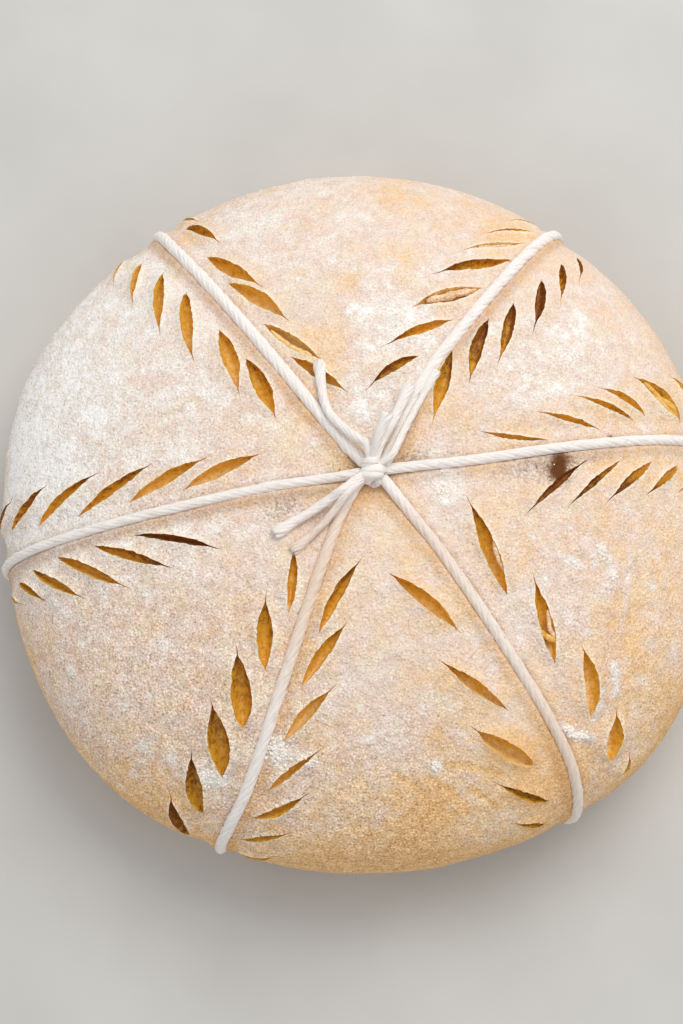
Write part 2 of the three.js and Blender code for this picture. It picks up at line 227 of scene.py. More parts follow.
cutRows = [
    {"string": "upperLeft", "side": 1, "count": 6, "along": (37.5, 72.5, 104), "aside": (8, 12.5, 16),
     "slant": (11, 31, 38), "length": (18.5, 23, 12), "gape": (4.1, 3.2, 1.4),
     "tone": (0.5, 0.6, 0.6), "bare": 0.2, "nudge": (0, -2.4, 0, -1, -1, -1)},
    {"string": "upperLeft", "side": -1, "count": 6, "along": (31, 66.5, 107), "aside": (6.7, 7.2, 10),
     "slant": (17, 14, 14), "length": (17, 21.5, 12), "gape": (2.8, 4.1, 1.8),
     "tone": (0.6, 0.7, 0.6), "bare": 0.7, "nudge": (0, -2, 0, -2, 2, 0)},
    {"string": "left", "side": -1, "count": 6, "along": (40, 77.5, 112), "aside": (6.7, 9.2, 14),
     "slant": (12, 21, 26), "length": (21, 24.5, 14), "gape": (3.1, 2.2, 2.6),
     "tone": (0.6, 0.5, 0.5), "bare": 0.3},
    {"string": "left", "side": 1, "count": 6, "along": (55, 86.5, 112), "aside": (9, 11.5, 11),
     "slant": (21, 35, 36), "length": (22.5, 23, 7), "gape": (2.1, 2.7, 1.4),
     "tone": (0.2, 0.5, 0.6), "bare": 0.1},
    {"string": "lowerLeft", "side": -1, "count": 6, "along": (35, 73.5, 109), "aside": (6.2, 10.8, 14),
     "slant": (13, 22, 30), "length": (16, 20.5, 17), "gape": (2.5, 5.6, 3.2),
     "tone": (0.5, 0.5, 0.3), "bare": 0.1},
    {"string": "lowerLeft", "side": 1, "count": 7, "along": (35, 82, 115), "aside": (7, 9.7, 10.5),
     "slant": (10, 29, 56), "length": (20.5, 17.5, 12), "gape": (3, 3, 1.3),
     "tone": (0.56, 0.63, 0.5), "bare": 0.2},
    {"string": "lowerRight", "side": -1, "count": 5, "along": (37.5, 78, 104), "aside": (10.5, 14, 15.3),
     "slant": (16, 27, 52), "length": (23, 21.5, 11), "gape": (3.9, 3.6, 1.1),
     "tone": (0.7, 0.71, 0.5), "bare": 0.6, "lip": 0, "nudge": (-2.2, 2.4, 0, 1.6, 0)},
    {"string": "lowerRight", "side": 1, "count": 5, "along": (33.5, 75, 109), "aside": (10.5, 13, 13.5),
     "slant": (15, 23, 34), "length": (23.5, 17, 7.5), "gape": (3.6, 4, 2.2),
     "tone": (0.57, 0.66, 0.62), "bare": 0.3, "nudge": (0, 1.8, 0, 0, -5.5)},
    {"string": "upperRight", "side": 1, "count": 7, "along": (28, 69, 100), "aside": (8.4, 8.3, 8.3),
     "slant": (26, 36, 30), "length": (16, 21.5, 12), "gape": (2.2, 2.8, 1.1),
     "tone": (0.4, 0.5, 0.7), "bare": 0.3, "shade": -1},
    {"string": "upperRight", "side": -1, "count": 6, "along": (33.5, 63, 92.5), "aside": (4.6, 11.5, 13.3),
     "slant": (15, 21, 31), "length": (20, 19, 10.5), "gape": (3.5, 3, 1.5),
     "tone": (0.45, 0.25, 0.4), "bare": 0.2, "nudge": (-1.5, 0.8, -1.8, 0, 0.6, -1)},
    {"string": "right", "side": 1, "count": 6, "along": (42, 70, 101), "aside": (5, 11, 13),
     "slant": (15, 30, 46), "length": (17, 17, 20), "gape": (1.4, 1.6, 4.4),
     "tone": (0.75, 0.8, 0.78), "bare": 0.5, "nudge": (-1.9, 2.9, 3.1, -3.1, -2.5, 0)},
    {"string": "right", "side": -1, "count": 6, "along": (49, 76, 103), "aside": (9.8, 11, 12),
     "slant": (29, 29, 30), "length": (21.5, 16, 10), "gape": (2.2, 2.2, 1.5),
     "tone": (0.25, 0.42, 0.5), "bare": 0.3, "shade": -1},
]
oddCuts = {        # single cuts that differ from the rest of their row: string, side and number
    ("upperLeft", -1, 1): {"tone": 0.92},
    ("upperLeft", -1, 4): {"gape": 3.1},
    ("left", 1, 0): {"tone": 0.12, "gape": 1.9},
    ("left", -1, 1): {"tone": 0.66},
    ("lowerLeft", 1, 2): {"tone": 0.72},
    ("lowerLeft", 1, 3): {"gape": 2},
    ("lowerLeft", 1, 6): {"gape": 2.3},
    ("lowerLeft", -1, 2): {"tip": 0.7},
    ("lowerLeft", -1, 3): {"tone": 0.36},
    ("lowerLeft", -1, 4): {"tone": 0.3},
    ("lowerLeft", -1, 5): {"gape": 3.7, "tone": 0.15},
    ("lowerRight", 1, 1): {"gape": 3.3, "tone": 0.6},
    ("lowerRight", 1, 3): {"gape": 4.3},
    ("lowerRight", 1, 4): {"aside": 15.5, "length": 6, "gape": 1.7},
    ("lowerRight", -1, 0): {"aside": 11.2, "length": 21, "gape": 3.1, "end": 14},
    ("lowerRight", -1, 1): {"length": 19.6, "gape": 2.7, "end": 12.2},
    ("lowerRight", -1, 2): {"length": 18, "gape": 4.4, "tone": 0.68, "tip": 0.5, "end": 9, "start": -14},
    ("lowerRight", -1, 3): {"tone": 0.3},
    ("lowerRight", -1, 4): {"gape": 1.9, "tone": 0.35},
    ("upperRight", 1, 0): {"tone": 0.3},
    ("upperRight", 1, 1): {"tone": 0.52},
    ("upperRight", 1, 2): {"gape": 3.6, "tone": 0.9, "bare": 0.8},
    ("upperRight", 1, 3): {"tone": 0.42},
    ("upperRight", 1, 4): {"gape": 1.7, "tone": 1},
    ("upperRight", 1, 5): {"gape": 0.9, "tone": 0.8},
    ("upperRight", 1, 6): {"gape": 0.7, "tone": 0.8},
    ("upperRight", -1, 1): {"tone": 0.27},
    ("upperRight", -1, 2): {"tone": 0.3},
    ("upperRight", -1, 3): {"tone": 0.05, "shade": -1},
    ("right", 1, 2): {"tone": 0.68},
    ("right", 1, 3): {"length": 14.5},
    ("right", 1, 4): {"gape": 4.4, "tone": 0.72},
    ("right", -1, 0): {"gape": 1.9, "tone": 0.14, "shade": 1, "tip": 2.2},
    ("right", -1, 1): {"gape": 1.5, "tone": 0.25, "shade": -1.6},
    ("right", -1, 2): {"tone": 0.32, "shade": -2.2},
    ("right", -1, 3): {"tone": 0.45, "shade": -2},
}
cutting = {
    "seed": 11, "raggedSeed": 12, "pointSpacing": 0.8, "tip": 0.9, "bowJitter": 0.5, "toneJitter": 0.1,
    "wave": 0.2, "waveSize": 6, "ragged": 0.26, "raggedSize": 0.8,
    "cutShift": 40.3, "sideShift": 9.7,        # so that no two edges wave alike
    "lightward": (0.4, 0.92),        # where the light comes from, on the flat skin
    "shading": 0.17, "edgeShade": 0.22, "edgeShadeFrom": 0.35, "leastOpening": 0.1,
    "crackHalf": 0.15, "crackDepth": 0.6,
    "innerCrack": (2, 5), "outerCrack": (0.4, 1.4),        # mm that the hairline runs on past each end
    "walls": (0.92, 0.76, 0.42, 0),        # where the walls have points: 1 is the edge, 0 the middle
    "wallPower": 4, "wallShare": 0.7, "leastDepth": 1.1, "depthPerGape": 0.42,
    "lipRings": (0.4, 1), "lip": 0.6, "lipWidth": 0.8, "pillow": 0.95, "pillowWidth": 3.6, "pillowGape": 4,
    "nearMargin": 6, "edgeClear": 0.12, "edgeTolerance": 0.05,
}
rowSizes = ("along", "aside", "slant", "length", "gape", "tone")


def betweenThree(values, share):        # from values for the start, the middle and the end
    return float(np.interp(share, [0, 0.5, 1], values))


def makeCuts():
    draw = np.random.default_rng(cutting["seed"])
    cuts = []
    for row in cutRows:
        half, side = halfStrings[row["string"]], row["side"]
        for number in range(row["count"]):
            share = number / (row["count"] - 1)
            sizes = {key: betweenThree(row[key], share) for key in rowSizes}
            sizes["along"] += row["nudge"][number] if "nudge" in row else 0
            which = (row["string"], side, number)
            odd = oddCuts.get(which, {})
            along, aside, slant, length = (odd.get(key, sizes[key]) for key in rowSizes[:4])
            outward = length / 2 * math.cos(math.radians(slant))
            inward = -side * length / 2 * math.sin(math.radians(slant))
            near = flatPlace(half, along - outward, side * aside - inward)
            middle = flatPlace(half, along, side * aside)
            far = flatPlace(half, along + outward, side * aside + inward)
            axis = unit(far - near)
            across = np.array([-axis[1], axis[0]])
            centre = (near + far) / 2
            halfLength = float(np.linalg.norm(far - near)) / 2
            cut = {
                "which": which, "number": len(cuts), "centre": centre, "axis": axis, "across": across,
                "half": halfLength, "gape": sizes["gape"], "bare": row["bare"], "tip": cutting["tip"],
                "shade": row.get("shade", 1), "lip": row.get("lip", 1),
                "bow": float((middle - centre) @ across) + draw.uniform(-1, 1) * cutting["bowJitter"],
                "tone": sizes["tone"] + draw.uniform(-1, 1) * cutting["toneJitter"],
                "start": -halfLength - draw.uniform(*cutting["innerCrack"]),
                "end": halfLength + draw.uniform(*cutting["outerCrack"]),
            }
            cut.update({key: value for key, value in odd.items() if key in cut})
            cut["depth"] = cutting["leastDepth"] + cutting["depthPerGape"] * cut["gape"]
            cuts.append(cut)
    return cuts


def cutPlace(cut, flat):        # places along a cut and to the left of its middle line
    offset = flat - cut["centre"]
    x = offset @ cut["axis"]
    return x, offset @ cut["across"] - cut["bow"] * (1 - (x / cut["half"]) ** 2)


def cutFlat(cut, x, y):        # the other way round
    bowed = y + cut["bow"] * (1 - (x / cut["half"]) ** 2)
    return cut["centre"] + x[:, None] * cut["axis"] + bowed[:, None] * cut["across"]


def nearCut(cut, flat, margin):        # which places lie about a cut
    return np.hypot(*(flat - cut["centre"]).T) < cut["half"] + margin


def lensShare(cut, x):        # how far the cut gapes, from 0 at its ends to 1
    return np.maximum(1 - (x / cut["half"]) ** 2, 0) ** np.where(x > 0, cut["tip"], 1)


def halfOpening(cut, x, side):        # from the middle line to the left edge or the right
    share = lensShare(cut, x)
    cutShift = np.full(len(x), cutting["cutShift"] * cut["number"])
    line = np.stack([x, cutShift, cutting["sideShift"] * side + 0 * x], 1)
    wave = 1 + cutting["wave"] * lumps(line, cutting["waveSize"], cutting["seed"])
    ragged = cutting["ragged"] * lumps(line, cutting["raggedSize"], cutting["raggedSeed"]) * np.sqrt(share)
    before = (x + cut["half"]) / (cut["start"] + cut["half"])
    beyond = (x - cut["half"]) / (cut["end"] - cut["half"])
    past = np.where(x < 0, before, beyond)
    crack = cutting["crackHalf"] * np.clip(1 - np.maximum(past, 0), 0, 1)
    return np.maximum(cut["gape"] / 2 * share * wave + ragged, crack)


def cutDepth(cut, x, share):        # share is 0 at the middle line and 1 at the cut's edge
    depth = cut["depth"] * np.sqrt(lensShare(cut, x)) + cutting["crackDepth"]
    return depth * (1 - np.abs(share) ** cutting["wallPower"])


def cutNet(cut):        # the points of one cut: its edge as a loop, its walls, and rings of skin around it
    count = int((cut["end"] - cut["start"]) / cutting["pointSpacing"])
    x = np.linspace(cut["start"], cut["end"], count)
    inside = x[1:-1]
    openings = {side: halfOpening(cut, inside, side) for side in (1, -1)}
    tips = cutFlat(cut, x[[0, -1]], np.zeros(2))
    left = cutFlat(cut, inside, openings[1])
    right = cutFlat(cut, inside, -openings[-1])
    edge = np.concatenate([tips[:1], left, tips[1:], right[::-1]])
    walls, depths = [], []
    for wall in cutting["walls"]:
        for side in (1, -1) if wall else (1,):
            wide = openings[side] * (1 - wall) > cutting["crackHalf"] * cutting["wallShare"]
            walls.append(cutFlat(cut, inside[wide], side * wall * openings[side][wide]))
            depths.append(cutDepth(cut, inside[wide], np.full(wide.sum(), wall)))
    rings = []
    for ring in cutting["lipRings"]:
        for side in (1, -1):
            wide = lensShare(cut, inside) > 0
            rings.append(cutFlat(cut, inside[wide], side * (openings[side][wide] + ring)))
    return edge, np.concatenate(walls), np.concatenate(depths), np.concatenate(rings)


def outsideCut(cut, flat):        # distance from the edge of a cut, and how much of its gape is there
    x, y = cutPlace(cut, flat)
    opening = np.where(y > 0, halfOpening(cut, x, 1), halfOpening(cut, x, -1))
    past = np.maximum(np.maximum(cut["start"] - x, x - cut["end"]), 0)
    inside = (np.abs(y) < opening) & (past == 0)
    return np.hypot(np.abs(y) - opening, past) * np.where(inside, -1, 1), lensShare(cut, x)


def insideAnyCut(flat, clear=cutting["edgeClear"]):        # places in a cut, or this close to its edge
    inside = np.zeros(len(flat), bool)
    for cut in cuts:
        near = nearCut(cut, flat, cutting["nearMargin"])
        inside[near] |= outsideCut(cut, flat[near])[0] < clear
    return inside


def shadedCutTones(cut, flat):        # painted shade: darker towards the light, where the edge of the cut shades it
    lightAlong, lightAcross = cut["axis"] @ cutting["lightward"], cut["across"] @ cutting["lightward"]
    reach = abs(lightAlong) * cut["half"] + abs(lightAcross) * cut["gape"] / 2
    lit = np.clip((flat - cut["centre"]) @ cutting["lightward"] / reach, -1, 1)
    x, y = cutPlace(cut, flat)
    side = np.sign(lightAcross)
    outward = side * y / np.maximum(halfOpening(cut, x, side), cutting["leastOpening"])
    edgeShade = cutting["edgeShade"] * smoothStep(outward, cutting["edgeShadeFrom"], 1)
    return cut["tone"] - cut["shade"] * cutting["shading"] * lit - edgeShade


cuts = makeCuts()
print("cuts laid out:", len(cuts))


# Flour: how thickly each place is dusted, 0 where bare and over 1 in heaps

flour = {
    "seed": 23, "flankSeed": 28, "clumpSeed": 30,
    # the grain's painted shade grows towards the bottom and the left, away from the light
    "gritUp": (-80, -45, -15, 50), "gritUpShares": (1.25, 1.06, 0.82, 0.52),
    "gritRight": (-40, 10, 70), "gritRightShares": (1.1, 0.9, 0.84),
    "gritSpots": [        # u, v, radius and change
        (9, -34, 26, -0.32), (5, -60, 14, -0.22), (16, -12, 10, -0.2), (40, -60, 16, -0.4),
        (46, -76, 12, -0.25), (-30, -18, 14, -0.25), (12, 42, 18, 0.4), (54, 36, 18, 0.35),
        (-62, -52, 26, 0.12), (10, -100, 22, 0.3),
    ],
    "level": 0.6, "most": 1.3, "leftward": 0.14, "upward": 0.1,
    "rimStart": 102, "rimEnd": 124, "rimLoss": 0.62,
    "flankFrom": 112, "flankTo": 124, "flankGain": 0.5, "flankSize": 17, "flankPatch": (0, 0.8),
    "mottling": [(26, 0.05), (11, 0.09), (5, 0.14)],        # size in mm, and strength
    "clumps": [(1.8, 1), (5, 0.7)], "clumpFrom": 0.25, "clumpTo": 1, "clumpGain": 0.34, "clumpLeast": 0.4,
    "clumpy": [        # u, v, radius and strength
        (62, -35, 36, 0.8), (-55, -55, 42, 0.6), (10, 45, 26, 0.7), (52, 40, 26, 0.6),
    ],
    "thick": [        # spots with more flour: u, v, radius and strength
        (1.5, 19, 7, 0.3), (-22, -73.6, 4.4, 0.6), (-13.6, -75.4, 2.6, 0.5), (-39.5, -79.6, 4, 0.5),
        (-51, -43, 2.6, 0.3), (22, -4, 8, 0.3), (20.3, -76.2, 2.2, 0.5), (7.2, -69.2, 8, 0.16),
        (9, 42, 16, 0.2), (-96, 22, 36, 0.3), (-84, -8, 24, 0.15), (-46, 48, 28, 0.15),
        (50, 31, 16, 0.22), (74, 44, 12, 0.12), (60, 44, 14, 0.15), (4, -58, 12, 0.14),
        (43, -37, 8, 0.22), (54, -37, 9, 0.2), (64, -52, 8, 0.12), (77.7, -42.5, 2.6, 0.4),
        (85, -44.5, 2.4, 0.4), (74.6, -51, 1.6, 0.4), (24, 60, 9, 0.2), (9, 41, 8, 0.2),
        (-46, -20, 8, 0.25), (53, -22, 12, 0.06),
    ],
    "thin": [        # spots with less flour
        (5, -7, 8, 0.2), (-4, 3, 6, 0.12), (-4, -71, 14, 0.06), (22, -86, 20, 0.17), (54, -79, 9, 0.45),
        (18, -106, 20, 0.3), (-9, -107, 16, 0.35), (-108, -42, 16, 0.3), (-62, -40, 22, 0.06),
        (-8, 38, 9, 0.3), (-56, -89, 14, 0.3), (-16, 12, 10, 0.1), (75, -40, 18, 0.16),
        (12.8, 64.2, 6, 0.34), (-3.8, 54.7, 4, 0.28), (12, 92, 10, 0.2), (33, 86.5, 10, 0.08),
        (-71, -82, 18, 0.2), (97, -62, 16, 0.2), (45, 80, 14, 0.2), (-51, 85, 10, 0.3),
    ],
    "stainsAndShade": [        # the brown smear at the right string with a painted shadow haze along the string's lower side, and brown spots by the knot
        (55, 6.2, 2.8, 0.95), (54.4, 3.4, 2.7, 0.85), (53.2, 0.6, 2.8, 1.0), (48.8, 3.4, 4, 0.32),
        (43.4, 1.8, 4.5, 0.26), (38, 0.6, 4, 0.18), (69.8, 13.3, 0.7, 1.6), (59.5, 6, 2.4, 0.36),
        (64, 7.2, 2.4, 0.32), (68.4, 8.2, 2.4, 0.24), (-23, -10.4, 3.2, 0.48), (-18.5, -8.4, 3, 0.42),
        (-13.5, -6.4, 2.8, 0.24), (-6, 2, 3.6, 0.3), (-1.5, 3, 3, 0.24), (12.3, 4.6, 3, 0.4),
        (17, 5.6, 3.2, 0.4), (26, 6, 4, 0.24),
    ],
    "stringLossAndShade": {        # flour rubbed off along the lower side of each string, kept to the side away from the light so that the bare dough also serves as painted shadow
        "upperLeft": 0.28, "upperRight": 0.2, "left": 0.16,
        "right": 0.04, "lowerLeft": 0.22, "lowerRight": 0.22,
    },
    # the direction the light comes from on the flat skin sets which side of each string is shaded
    "stringWidth": 2.6, "stringSide": 2.4, "stringLightward": (-0.1, 1), "stringFade": 10,
    # the painted shadow beside each string: how far it lies from the string's middle line, and how wide it
    # is
    "stringShadeAt": 3.2, "stringShadeWidth": 1.5,
    "stringBand": {        # painted shadow: how dark the brown band beside each string is
        "upperLeft": 0.75, "upperRight": 0.75, "left": 0.9,
        "right": 0.45, "lowerLeft": 0.4, "lowerRight": 0.4,
    },
    "edgeGain": 0.12, "edgeWidth": 0.8, "lipWidth": 0.7, "bareLoss": 0.4, "bareWidth": 3.6,
}
folds = [        # ridges and stretch lines in the skin: places, half width, height and the flour they gain
    ([(62.3, -17.8), (65.8, -20.8), (67.2, -22.7), (66.2, -25.2), (63.7, -28.7)], 2, 0.5, 0.26),
    ([(71.8, -19.3), (71, -24.5), (69.8, -30.8), (67.8, -37.2)], 1, 0.5, 0.34),
    ([(60.7, -53.7), (61.7, -57.7), (60.8, -61.8)], 1.1, 0.4, 0.45),
    ([(53.4, -64.8), (57.6, -66.4), (61.2, -66.8)], 1.2, 0.6, 0.7),
    ([(65.3, -47.3), (66, -51), (66.3, -54.7)], 1, 0.3, 0.6),
    ([(17.8, -79.7), (25.2, -83.7), (29.2, -89.3)], 0.9, -0.35, -0.3),
    ([(23.2, -75.8), (30.3, -76.3), (37.2, -77.8)], 0.9, -0.35, -0.3),
    ([(29.2, -81.8), (33.8, -84.7), (37.3, -87.7)], 0.8, -0.3, -0.3),
    ([(9.3, -78.8), (16.2, -82.8), (21.8, -90.3)], 1, -0.35, -0.3),
]


def lineDistance(flat, line):        # to a line of straight stretches
    nearest = np.full(len(flat), np.inf)
    for start, end in zip(line, line[1:]):
        run = np.subtract(end, start)
        share = np.clip((flat - start) @ run / (run @ run), 0, 1)
        nearest = np.minimum(nearest, np.hypot(*(flat - start - share[:, None] * run).T))
    return nearest


def spotSum(spots, flat):        # round spots that fade out: u, v, radius and strength
    total = np.zeros(len(flat))
    for spotU, spotV, radius, strength in spots:
        total += strength * bell(np.hypot(flat[:, 0] - spotU, flat[:, 1] - spotV), radius)
    return total


def belowString(name, flat, distance, width):        # a band of skin along the lower side of a string, the side away from the light
    half = halfStrings[name]
    along, aside = besideString(half, flat)
    bearing = math.radians(half["bearing"])
    lower = -np.sign(np.dot((-math.sin(bearing), math.cos(bearing)), flour["stringLightward"]))
    return bell(lower * aside - distance, width) * smoothStep(along, 0, flour["stringFade"])


def flourAt(flat, points):
    u, v = flat.T
    arc = np.hypot(u, v)
    level = flour["level"] - flour["leftward"] * u / loaf["radius"] + flour["upward"] * v / loaf["radius"]
    for index, (size, strength) in enumerate(flour["mottling"]):
        level = level + strength * lumps(points, size, flour["seed"] + index)
    level = level + spotSum(flour["thick"], flat) - spotSum(flour["thin"], flat)
    # flour taken off each string's shaded side, partly as painted shadow
    for name, loss in flour["stringLossAndShade"].items():
        level = level - loss * belowString(name, flat, flour["stringSide"], flour["stringWidth"])
    level = level - flour["rimLoss"] * smoothStep(arc, flour["rimStart"], flour["rimEnd"])
    patches = smoothStep(lumps(points, flour["flankSize"], flour["flankSeed"]), *flour["flankPatch"])
    level = level + flour["flankGain"] * patches * smoothStep(arc, flour["flankFrom"], flour["flankTo"])
    clumpy = flour["clumpLeast"] + spotSum(flour["clumpy"], flat)
    clumps = sum(strength * lumps(points, size, flour["clumpSeed"] + index)
                 for index, (size, strength) in enumerate(flour["clumps"]))
    level = level + flour["clumpGain"] * clumpy * smoothStep(clumps, flour["clumpFrom"], flour["clumpTo"])
    for line, width, _, gain in folds:
        level = level + gain * bell(lineDistance(flat, line), width)
    for cut in cuts:
        near = nearCut(cut, flat, bellReach * flour["bareWidth"])
        distance, share = outsideCut(cut, flat[near])
        gain = flour["edgeGain"] * cut["lip"] * bell(distance, flour["edgeWidth"])
        bare = flour["bareLoss"] * cut["bare"] * bell(distance, flour["bareWidth"])
        level[near] += (gain - bare) * np.sqrt(share)
    return np.clip(level, 0, flour["most"])


# The skin's relief on top of the loaf's form

relief = {
    "seed": 31, "wrinkleSeed": 39, "heapSeed": 40,
    "layers": [(34, 0.5), (13, 0.2), (5, 0.08), (2.2, 0.05)],        # size and height in mm
    "crease": 0.5, "creaseWidth": 1.2, "creaseFull": 10, "bank": 0.95, "bankAt": 2.6, "bankWidth": 1.5,
    "dimple": 1, "dimpleWidth": 6, "roughSize": 3,
    "flourHeight": 0.35, "heapFrom": 0.75, "heapTo": 1, "heapLevel": 0.6, "heapLump": 0.4, "heapSize": 1.3,
    "rough": [        # wrinkled places: u, v, radius and height
        (8, 45, 17, 0.34), (62, -32, 32, 0.26), (-52, -58, 34, 0.22),
        (45, 44, 26, 0.3), (-42, 52, 26, 0.2),
    ],
}


def reliefAt(flat, points, dusted):
    height = np.zeros(len(flat))
    for index, (size, strength) in enumerate(relief["layers"]):
        height += strength * lumps(points, size, relief["seed"] + index)
    for half in halfStrings.values():
        along, aside = besideString(half, flat)
        stringBand = smoothStep(along, 0, relief["creaseFull"])
        height -= relief["crease"] * bell(aside, relief["creaseWidth"]) * stringBand
        height += relief["bank"] * bell(np.abs(aside) - relief["bankAt"], relief["bankWidth"]) * stringBand
    height -= relief["dimple"] * bell(np.hypot(*(flat - knotPlace).T), relief["dimpleWidth"])
    for line, width, ridge, _ in folds:
        height += ridge * bell(lineDistance(flat, line), width)
    height += spotSum(relief["rough"], flat) * lumps(points, relief["roughSize"], relief["wrinkleSeed"])
    heapLumps = lumps(points, relief["heapSize"], relief["heapSeed"])
    heaped = smoothStep(dusted, relief["heapFrom"], relief["heapTo"])
    height += relief["flourHeight"] * heaped * (relief["heapLevel"] + relief["heapLump"] * heapLumps)
    for cut in cuts:
        near = nearCut(cut, flat, bellReach * cutting["pillowWidth"])
        distance, share = outsideCut(cut, flat[near])
        lip = cutting["lip"] * bell(distance, cutting["lipWidth"])
        pillow = cutting["pillow"] * cut["gape"] / cutting["pillowGape"]
        pillow = pillow * bell(distance, cutting["pillowWidth"])
        height[near] += (lip + pillow) * np.sqrt(share)
    return height


def skinSurface(flat):        # points of the finished skin, and how thickly they are floured
    smooth = skinPoints(flat)
    dusted = flourAt(flat, smooth)
    return smooth + skinNormals(flat) * reliefAt(flat, smooth, dusted)[:, None], dusted


# Strings: where each runs, round the loaf and back under it

strings = {
    "ends": [("upperLeft", "lowerRight"), ("upperRight", "lowerLeft"), ("right", "left")],
    "thickness": {        # share of the usual thickness, in each half string
        "right": 0.88, "upperRight": 1.04, "upperLeft": 1.06,
        "left": 0.84, "lowerLeft": 1, "lowerRight": 0.94,
    },
    "radius": 1.65, "sunk": 0.9, "floorGap": 0.5, "knotRise": 1.2, "knotReach": 9, "knotClear": 3,
    "crossingRise": 4.4, "crossingSpread": 22, "step": 0.7, "slack": 4,
    "overrun": 1.2, "routeStep": 1, "underPoints": 80, "lowestFibre": 0.05,
}
stringLowest = strings["radius"] + strings["floorGap"]


def evenPath(path, step):        # the same line with points an even step apart
    run = np.concatenate([[0], np.cumsum(np.linalg.norm(np.diff(path, axis=0), axis=1))])
    places = np.linspace(0, run[-1], max(int(run[-1] / step), 2) + 1)
    return np.stack([np.interp(places, run, path[:, axis]) for axis in range(3)], 1)


def relaxPath(path, passes):        # rounds off corners, with the ends kept
    for _ in range(passes):
        path = np.concatenate([path[:1], (path[:-2] + 2 * path[1:-1] + path[2:]) / 4, path[-1:]])
    return path


def halfRoute(half):        # from the knot down to the edge of the base
    along = np.arange(strings["knotClear"], sideLength * strings["overrun"], strings["routeStep"])
    flat = flatPlace(half, along, np.zeros(len(along)))
    kept = np.hypot(*flat.T) < sideLength
    flat, along = flat[kept], along[kept]
    lift = strings["radius"] - strings["sunk"] + strings["knotRise"] * bell(along, strings["knotReach"])
    points = skinPoints(flat) + skinNormals(flat) * lift[:, None]
    points[:, 2] = np.maximum(points[:, 2], stringLowest)
    return points


def underRoute(start, order):        # from the edge of the base straight to the middle
    share = np.linspace(1, 0, strings["underPoints"])[1:]
    points = np.stack([start[0] * share, start[1] * share, 0 * share], 1)
    away = np.hypot(points[:, 0], points[:, 1])
    points[:, 2] = stringLowest + strings["crossingRise"] * order * bell(away, strings["crossingSpread"])
    return points


def stringPath(order):
    down, up = (halfRoute(halfStrings[end]) for end in strings["ends"][order])
    under = np.concatenate([underRoute(down[-1], order), underRoute(up[-1], order)[-2::-1]])
    whole = np.concatenate([down, under, up[::-1]])
    return relaxPath(evenPath(whole, strings["step"]), strings["slack"])


stringPaths = [stringPath(order) for order in range(len(strings["ends"]))]
underEnds = []        # bearing at which each half string goes under, and its order at the crossing
for order, ends in enumerate(strings["ends"]):
    for end in ends:
        point = halfRoute(halfStrings[end])[-1]
        underEnds.append((math.atan2(point[1], point[0]), order))


# The dough piece: one net over the whole skin, with each cut's edge kept as a crisp line

doughNet = {
    "seed": 5, "jitter": 0.12,
    "belts": [(1.15, 0, 118), (1.8, 118, 136), (2.6, 136, 154)],        # spacing, from, to
    "stringRows": (0, 0.8, -0.8, 1.5, -1.5, 2.2, -2.2, 3, -3), "stringRowStart": 9, "stringRowStep": 1,
    "ringGap": 0.28, "rowGap": 0.5, "gridGap": 0.62, "rimGap": 1, "rimPoints": 300,
    "slotRows": (0, 1.1, -1.1, 1.8, -1.8, 2.15, -2.15, 2.7, -2.7), "slotRowStart": 2, "slotRowStep": 2,
    "slotHalf": 1.8, "slotWall": 2.15, "slotClear": 0.25, "slotGap": 0.3,
    "baseSpacing": 4, "baseGap": 0.5, "baseMargin": 1.5,
}


def slotRoof(points):        # height of the slots that the strings lie in under the loaf
    roof = np.zeros(len(points))
    away = np.hypot(points[:, 0], points[:, 1])
    for bearing, order in underEnds:
        ahead = points[:, 0] * math.cos(bearing) + points[:, 1] * math.sin(bearing) > 0
        aside = np.abs(points[:, 1] * math.cos(bearing) - points[:, 0] * math.sin(bearing))
        rise = strings["crossingRise"] * order * bell(away, strings["crossingSpread"])
        top = stringLowest + strings["radius"] + doughNet["slotClear"] + rise
        wall = 1 - smoothStep(aside, doughNet["slotHalf"], doughNet["slotWall"])
        roof = np.maximum(roof, top * wall * ahead)
    return roof


def stringRowPoints():        # rows along the strings, where the skin is creased
    rows = []
    reach = sideLength * strings["overrun"]
    for half in halfStrings.values():
        along = np.arange(doughNet["stringRowStart"], reach, doughNet["stringRowStep"])
        for aside in doughNet["stringRows"]:
            rows.append(flatPlace(half, along, np.full(len(along), float(aside))))
    rows = np.concatenate(rows)
    return rows[np.hypot(*rows.T) < sideLength - doughNet["rimGap"]]


def topNet():        # flat points of the skin, cut edges and walls first, and what each one is
    edges, walls, depths, rings, loops = [], [], [], [], []
    for cut in cuts:
        edge, wall, depth, ring = cutNet(cut)
        edges.append(edge)
        walls.append(wall)
        depths.append(depth)
        rings.append(ring)
    start = 0
    for edge in edges:
        index = np.arange(start, start + len(edge))
        loops.append(np.stack([index, np.roll(index, -1)], 1))
        start += len(edge)
    edge, wall = np.concatenate(edges), np.concatenate(walls)
    taken = np.concatenate([edge, wall])
    ring = np.concatenate(rings)
    ring = ring[apartFrom(ring, taken, doughNet["ringGap"]) & ~insideAnyCut(ring)]
    taken = np.concatenate([taken, ring])
    rows = stringRowPoints()
    rows = rows[~insideAnyCut(rows)]
    rows = rows[apartFrom(rows, taken, doughNet["rowGap"])]
    taken = np.concatenate([taken, rows])
    draw = np.random.default_rng(doughNet["seed"])
    for spacing, inner, outer in doughNet["belts"]:
        grid = hexGrid(spacing, inner, outer)
        grid = grid + draw.uniform(-1, 1, grid.shape) * doughNet["jitter"] * spacing
        grid = grid[~insideAnyCut(grid)]
        grid = grid[apartFrom(grid, taken, doughNet["gridGap"] * spacing)]
        taken = np.concatenate([taken, grid])
    turn = np.linspace(0, 2 * math.pi, doughNet["rimPoints"], endpoint=False)
    rim = sideLength * np.stack([np.cos(turn), np.sin(turn)], 1)
    return np.concatenate([taken, rim]), len(edge), np.concatenate(depths), np.concatenate(loops)


